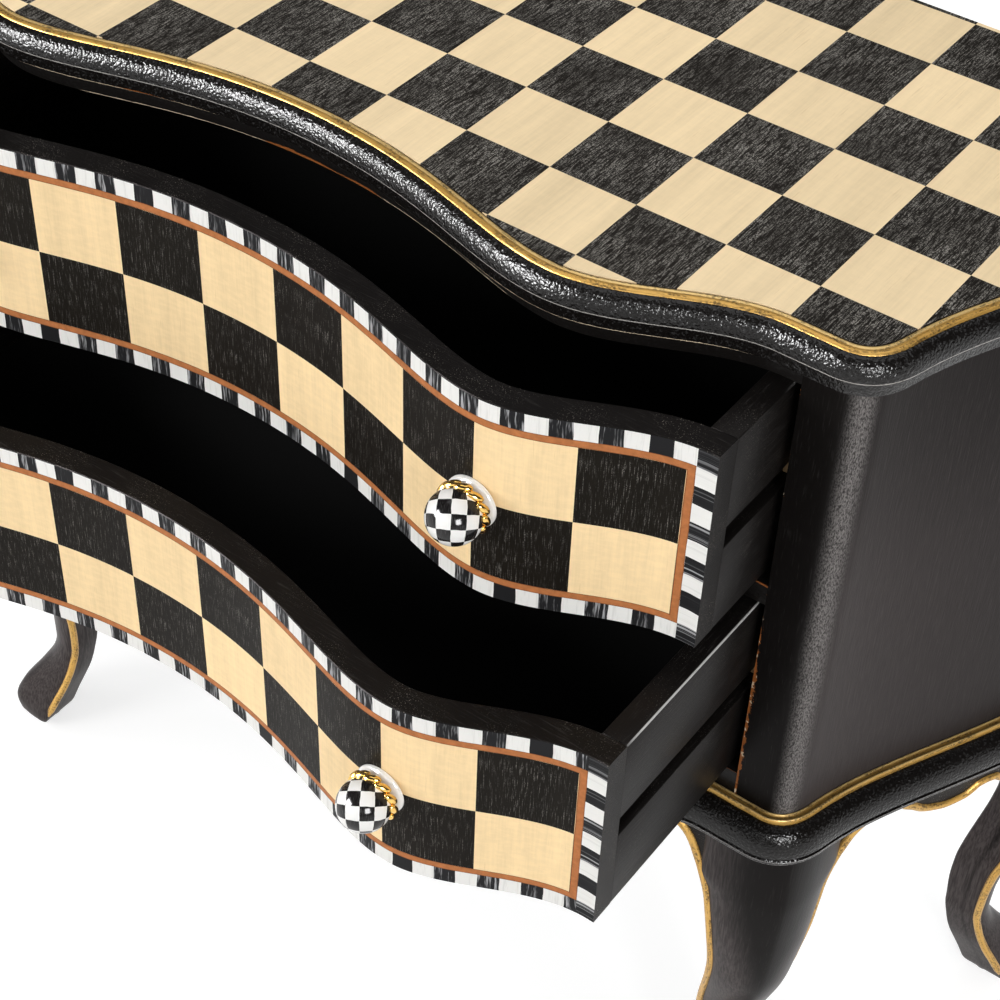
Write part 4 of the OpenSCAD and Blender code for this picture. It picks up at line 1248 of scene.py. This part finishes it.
def build_knobs(scene):
    sizes, pattern = scene.chest_sizes, scene.chest_pattern
    ring = {
        "Ring Radius": 0.0166, "Bead Radius": 0.0030, "Bead Length": 0.0060, "Tilt": math.radians(28),
        "Count": pattern.beads_per_knob, "Material": FINISHES["ring_gold"],
    }
    for drawer in DRAWERS:
        body = f"{drawer}_drawer"
        centres = []
        for side, _ in SIDES:
            low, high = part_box(f"{drawer}_{side}_knob")
            seat = Vector(((low.x + high.x) / 2, high.y, (low.z + high.z) / 2))
            centres.append(tuple(seat - Vector((0, RING_AT, 0))))
            mesh = knob_mesh(f"{drawer}_{side}_ball_knob", seat, sizes.knob_r)
            finishes = [FINISHES["knob_checks"], FINISHES["glaze"]]
            add_piece(mesh, body, [f"{drawer}_{side}_knob"], finishes)
        points = bpy.data.meshes.new("ring_centres")
        points.from_pydata(centres, [], [])
        tree = shared_tree("ring", ring_tree)
        mesh = tree.run(put_object("ring_centres", points), ring, f"{drawer}_knob_beads")
        mesh.shade_smooth()
        add_piece(mesh, body, [f"{drawer}_knob_collars"])


# ---- Nodes of the frame that stay ----
SLOT_FINISHES = {
    "black_lacquer": "level", "black_inside": "inside", "plain_hardwood": "hardwood", "steel": "steel",
    "glide": "glide", "gilt": "gilt", "glazed_ceramic": "glaze", "checker_veneer": "level",
}


def finish_frame_nodes(scene):
    """Gives every node of the frame that still shows its finish."""
    slots = {part["node"]: part["material_slot"] for part in frame["record"]["subparts"]}
    for name, node in frame["nodes"].items():
        if not node.hide_render:
            node.data.materials.clear()
            node.data.materials.append(FINISHES["upright" if name == "back_panel" else SLOT_FINISHES[slots[name]]])


# ---- Stage ----
WHITE = (1.0, 1.0, 1.0)
FLOOR_HALF = 9
FLOOR_GLOW = 0.66
WORLD_LIGHT = 0.40
CAMERA_PLACE = (0.76068, -0.92803, 1.61778)
CAMERA_TURN = (0.815581, -0.029845, 0.634475)
CAMERA_LENS_MM = 76.818

# Name, place, the point it faces, width and height, watts, whether it lights matt surfaces, whether gloss mirrors it
LAMPS = [
    ("front_softbox", (-1.7, -2.6, 1.75), (0.1, 0.0, 0.6), (1.3, 1.2), 43, True, True),
    ("left_softbox", (-2.6, -1.3, 1.5), (0.0, -0.2, 0.7), (1.2, 1.0), 15, True, True),
    ("front_strip", (0.5, -3.0, 1.95), (0.1, -0.2, 0.8), (2.4, 0.8), 15, True, True),
    ("front_glint", (-1.6, -2.5, 1.8), (0.1, 0.0, 0.6), (1.5, 1.3), 290, False, True),
    ("right_softbox", (2.3, -1.7, 1.7), (0.3, -0.2, 0.7), (0.4, 0.4), 16, True, True),
    ("right_glint", (2.3, -1.7, 1.7), (0.3, -0.2, 0.7), (0.9, 0.9), 90, False, True),
    ("side_softbox", (2.3, -0.3, 1.0), (0.4, 0.0, 0.6), (1.0, 0.8), 11, True, False),
    ("top_softbox", (0.0, 0.6, 3.4), (0.0, 0.1, 0.8), (2.4, 2.4), 27, True, True),
]


def build_floor(colour):
    """A white floor that still takes the chest's shadow."""
    a = FLOOR_HALF
    mesh = bpy.data.meshes.new("studio_floor")
    mesh.from_pydata([(-a, -a, 0), (a, -a, 0), (a, a, 0), (-a, a, 0)], [], [(0, 1, 2, 3)])
    put_object("studio_floor", mesh)
    finish = Finish("studio_floor", 0.9, 0.1)
    finish.colour(colour)
    glow = finish.add("Emission", {"Color": WHITE, "Strength": finish.background_ray() * FLOOR_GLOW})
    both = finish.add("AddShader", {0: finish.shader.outputs[0], 1: glow})
    finish.put(finish.tree.nodes["Material Output"].inputs[0], both)
    mesh.materials.append(finish.material)


def build_world():
    """A white background, which gloss sees only near the horizon, and an even light on the chest."""
    world = bpy.data.worlds.new("studio")
    world.use_nodes = True
    sky = ShaderTree(world.node_tree)
    up = sky.split(sky.add("TexCoord", out="Generated"))[2]
    low_band = sky.add("MapRange", {0: up, 1: 0.02, 2: 0.10, 3: 1.0, 4: 0.03})
    camera_ray = sky.add("LightPath", out="Is Camera Ray")
    plain = sky.add("Background", {"Color": WHITE, "Strength": WORLD_LIGHT})
    shown = sky.add("Background", {"Color": WHITE, "Strength": low_band.most(camera_ray)})
    mixed = sky.add("MixShader", {0: sky.background_ray(), 1: plain, 2: shown})
    sky.put(world.node_tree.nodes["World Output"].inputs[0], mixed)
    return world


def build_stage(scene):
    scene.view_settings.view_transform = "Standard"
    build_floor(scene.chest_colours.floor)
    scene.world = build_world()

    for name, place, towards, size, watts, diffuse, glossy in LAMPS:
        lamp = bpy.data.lights.new(name, "AREA")
        lamp.shape, lamp.size, lamp.size_y = "RECTANGLE", *size
        lamp.energy = watts
        holder = put_object(name, lamp)
        holder.location = place
        holder.rotation_euler = (Vector(towards) - Vector(place)).to_track_quat("-Z", "Y").to_euler()
        holder.visible_diffuse, holder.visible_glossy = diffuse, glossy

    camera = bpy.data.cameras.new("camera")
    camera.lens, camera.sensor_width = CAMERA_LENS_MM, 36.0
    holder = put_object("camera", camera)
    holder.location, holder.rotation_euler = CAMERA_PLACE, CAMERA_TURN
    scene.camera = holder


# ---- Operators ----
class CHEST_OT_finishes(Operator):
    """Make the finishes that several pieces share"""

    bl_idname = "chest.finishes"
    bl_label = "Make finishes"

    def execute(self, context):
        make_finishes(context.scene)
        return {"FINISHED"}


class CHEST_OT_top(Operator):
    """Build the top, its veneer, its moulded edge and its gilt bead"""

    bl_idname = "chest.top"
    bl_label = "Build top"

    def execute(self, context):
        build_top(context.scene)
        return {"FINISHED"}


class CHEST_OT_case(Operator):
    """Build the sides with their corner posts and the front rails"""

    bl_idname = "chest.case"
    bl_label = "Build case"

    def execute(self, context):
        build_case(context.scene)
        return {"FINISHED"}


class CHEST_OT_base(Operator):
    """Build the base, its mouldings, the aprons and the gilt beads that run on down the legs"""

    bl_idname = "chest.base"
    bl_label = "Build base"

    def execute(self, context):
        build_base(context.scene)
        return {"FINISHED"}


class CHEST_OT_legs(Operator):
    """Build the four cabriole legs"""

    bl_idname = "chest.legs"
    bl_label = "Build legs"

    def execute(self, context):
        build_legs(context.scene)
        return {"FINISHED"}


class CHEST_OT_drawers(Operator):
    """Build the boards and the veneered fronts of the drawers"""

    bl_idname = "chest.drawers"
    bl_label = "Build drawers"

    def execute(self, context):
        build_drawers(context.scene)
        return {"FINISHED"}


class CHEST_OT_knobs(Operator):
    """Build the ball knobs and their rings of beads"""

    bl_idname = "chest.knobs"
    bl_label = "Build knobs"

    def execute(self, context):
        build_knobs(context.scene)
        return {"FINISHED"}


class CHEST_OT_frame_nodes(Operator):
    """Give the frame's own pieces their finishes"""

    bl_idname = "chest.frame_nodes"
    bl_label = "Finish frame"

    def execute(self, context):
        finish_frame_nodes(context.scene)
        return {"FINISHED"}


class CHEST_OT_stage(Operator):
    """Set the floor, the lamps and the camera"""

    bl_idname = "chest.stage"
    bl_label = "Set stage"

    def execute(self, context):
        build_stage(context.scene)
        return {"FINISHED"}


STEPS = [
    CHEST_OT_finishes, CHEST_OT_top, CHEST_OT_case, CHEST_OT_base, CHEST_OT_legs, CHEST_OT_drawers, CHEST_OT_knobs,
    CHEST_OT_frame_nodes, CHEST_OT_stage,
]


class CHEST_PT_steps(Panel):
    """Lists the steps that build the chest."""

    bl_label = "Serpentine Chest"
    bl_space_type = "VIEW_3D"
    bl_region_type = "UI"
    bl_category = "Chest"

    def draw(self, context):
        for step in STEPS:
            self.layout.operator(step.bl_idname)


CLASSES = [ChestSizes, ChestPattern, ChestColours, *STEPS, CHEST_PT_steps]


def register():
    for cls in CLASSES:
        bpy.utils.register_class(cls)
    bpy.types.Scene.chest_sizes = PointerProperty(type=ChestSizes)
    bpy.types.Scene.chest_pattern = PointerProperty(type=ChestPattern)
    bpy.types.Scene.chest_colours = PointerProperty(type=ChestColours)


def unregister():
    del bpy.types.Scene.chest_colours
    del bpy.types.Scene.chest_pattern
    del bpy.types.Scene.chest_sizes
    for cls in reversed(CLASSES):
        bpy.utils.unregister_class(cls)


def main():
    register()
    bpy.ops.chest.finishes()
    bpy.ops.chest.top()
    bpy.ops.chest.case()
    bpy.ops.chest.base()
    bpy.ops.chest.legs()
    bpy.ops.chest.drawers()
    bpy.ops.chest.knobs()
    bpy.ops.chest.frame_nodes()
    bpy.ops.chest.stage()


if __name__ == "__main__":
    main()
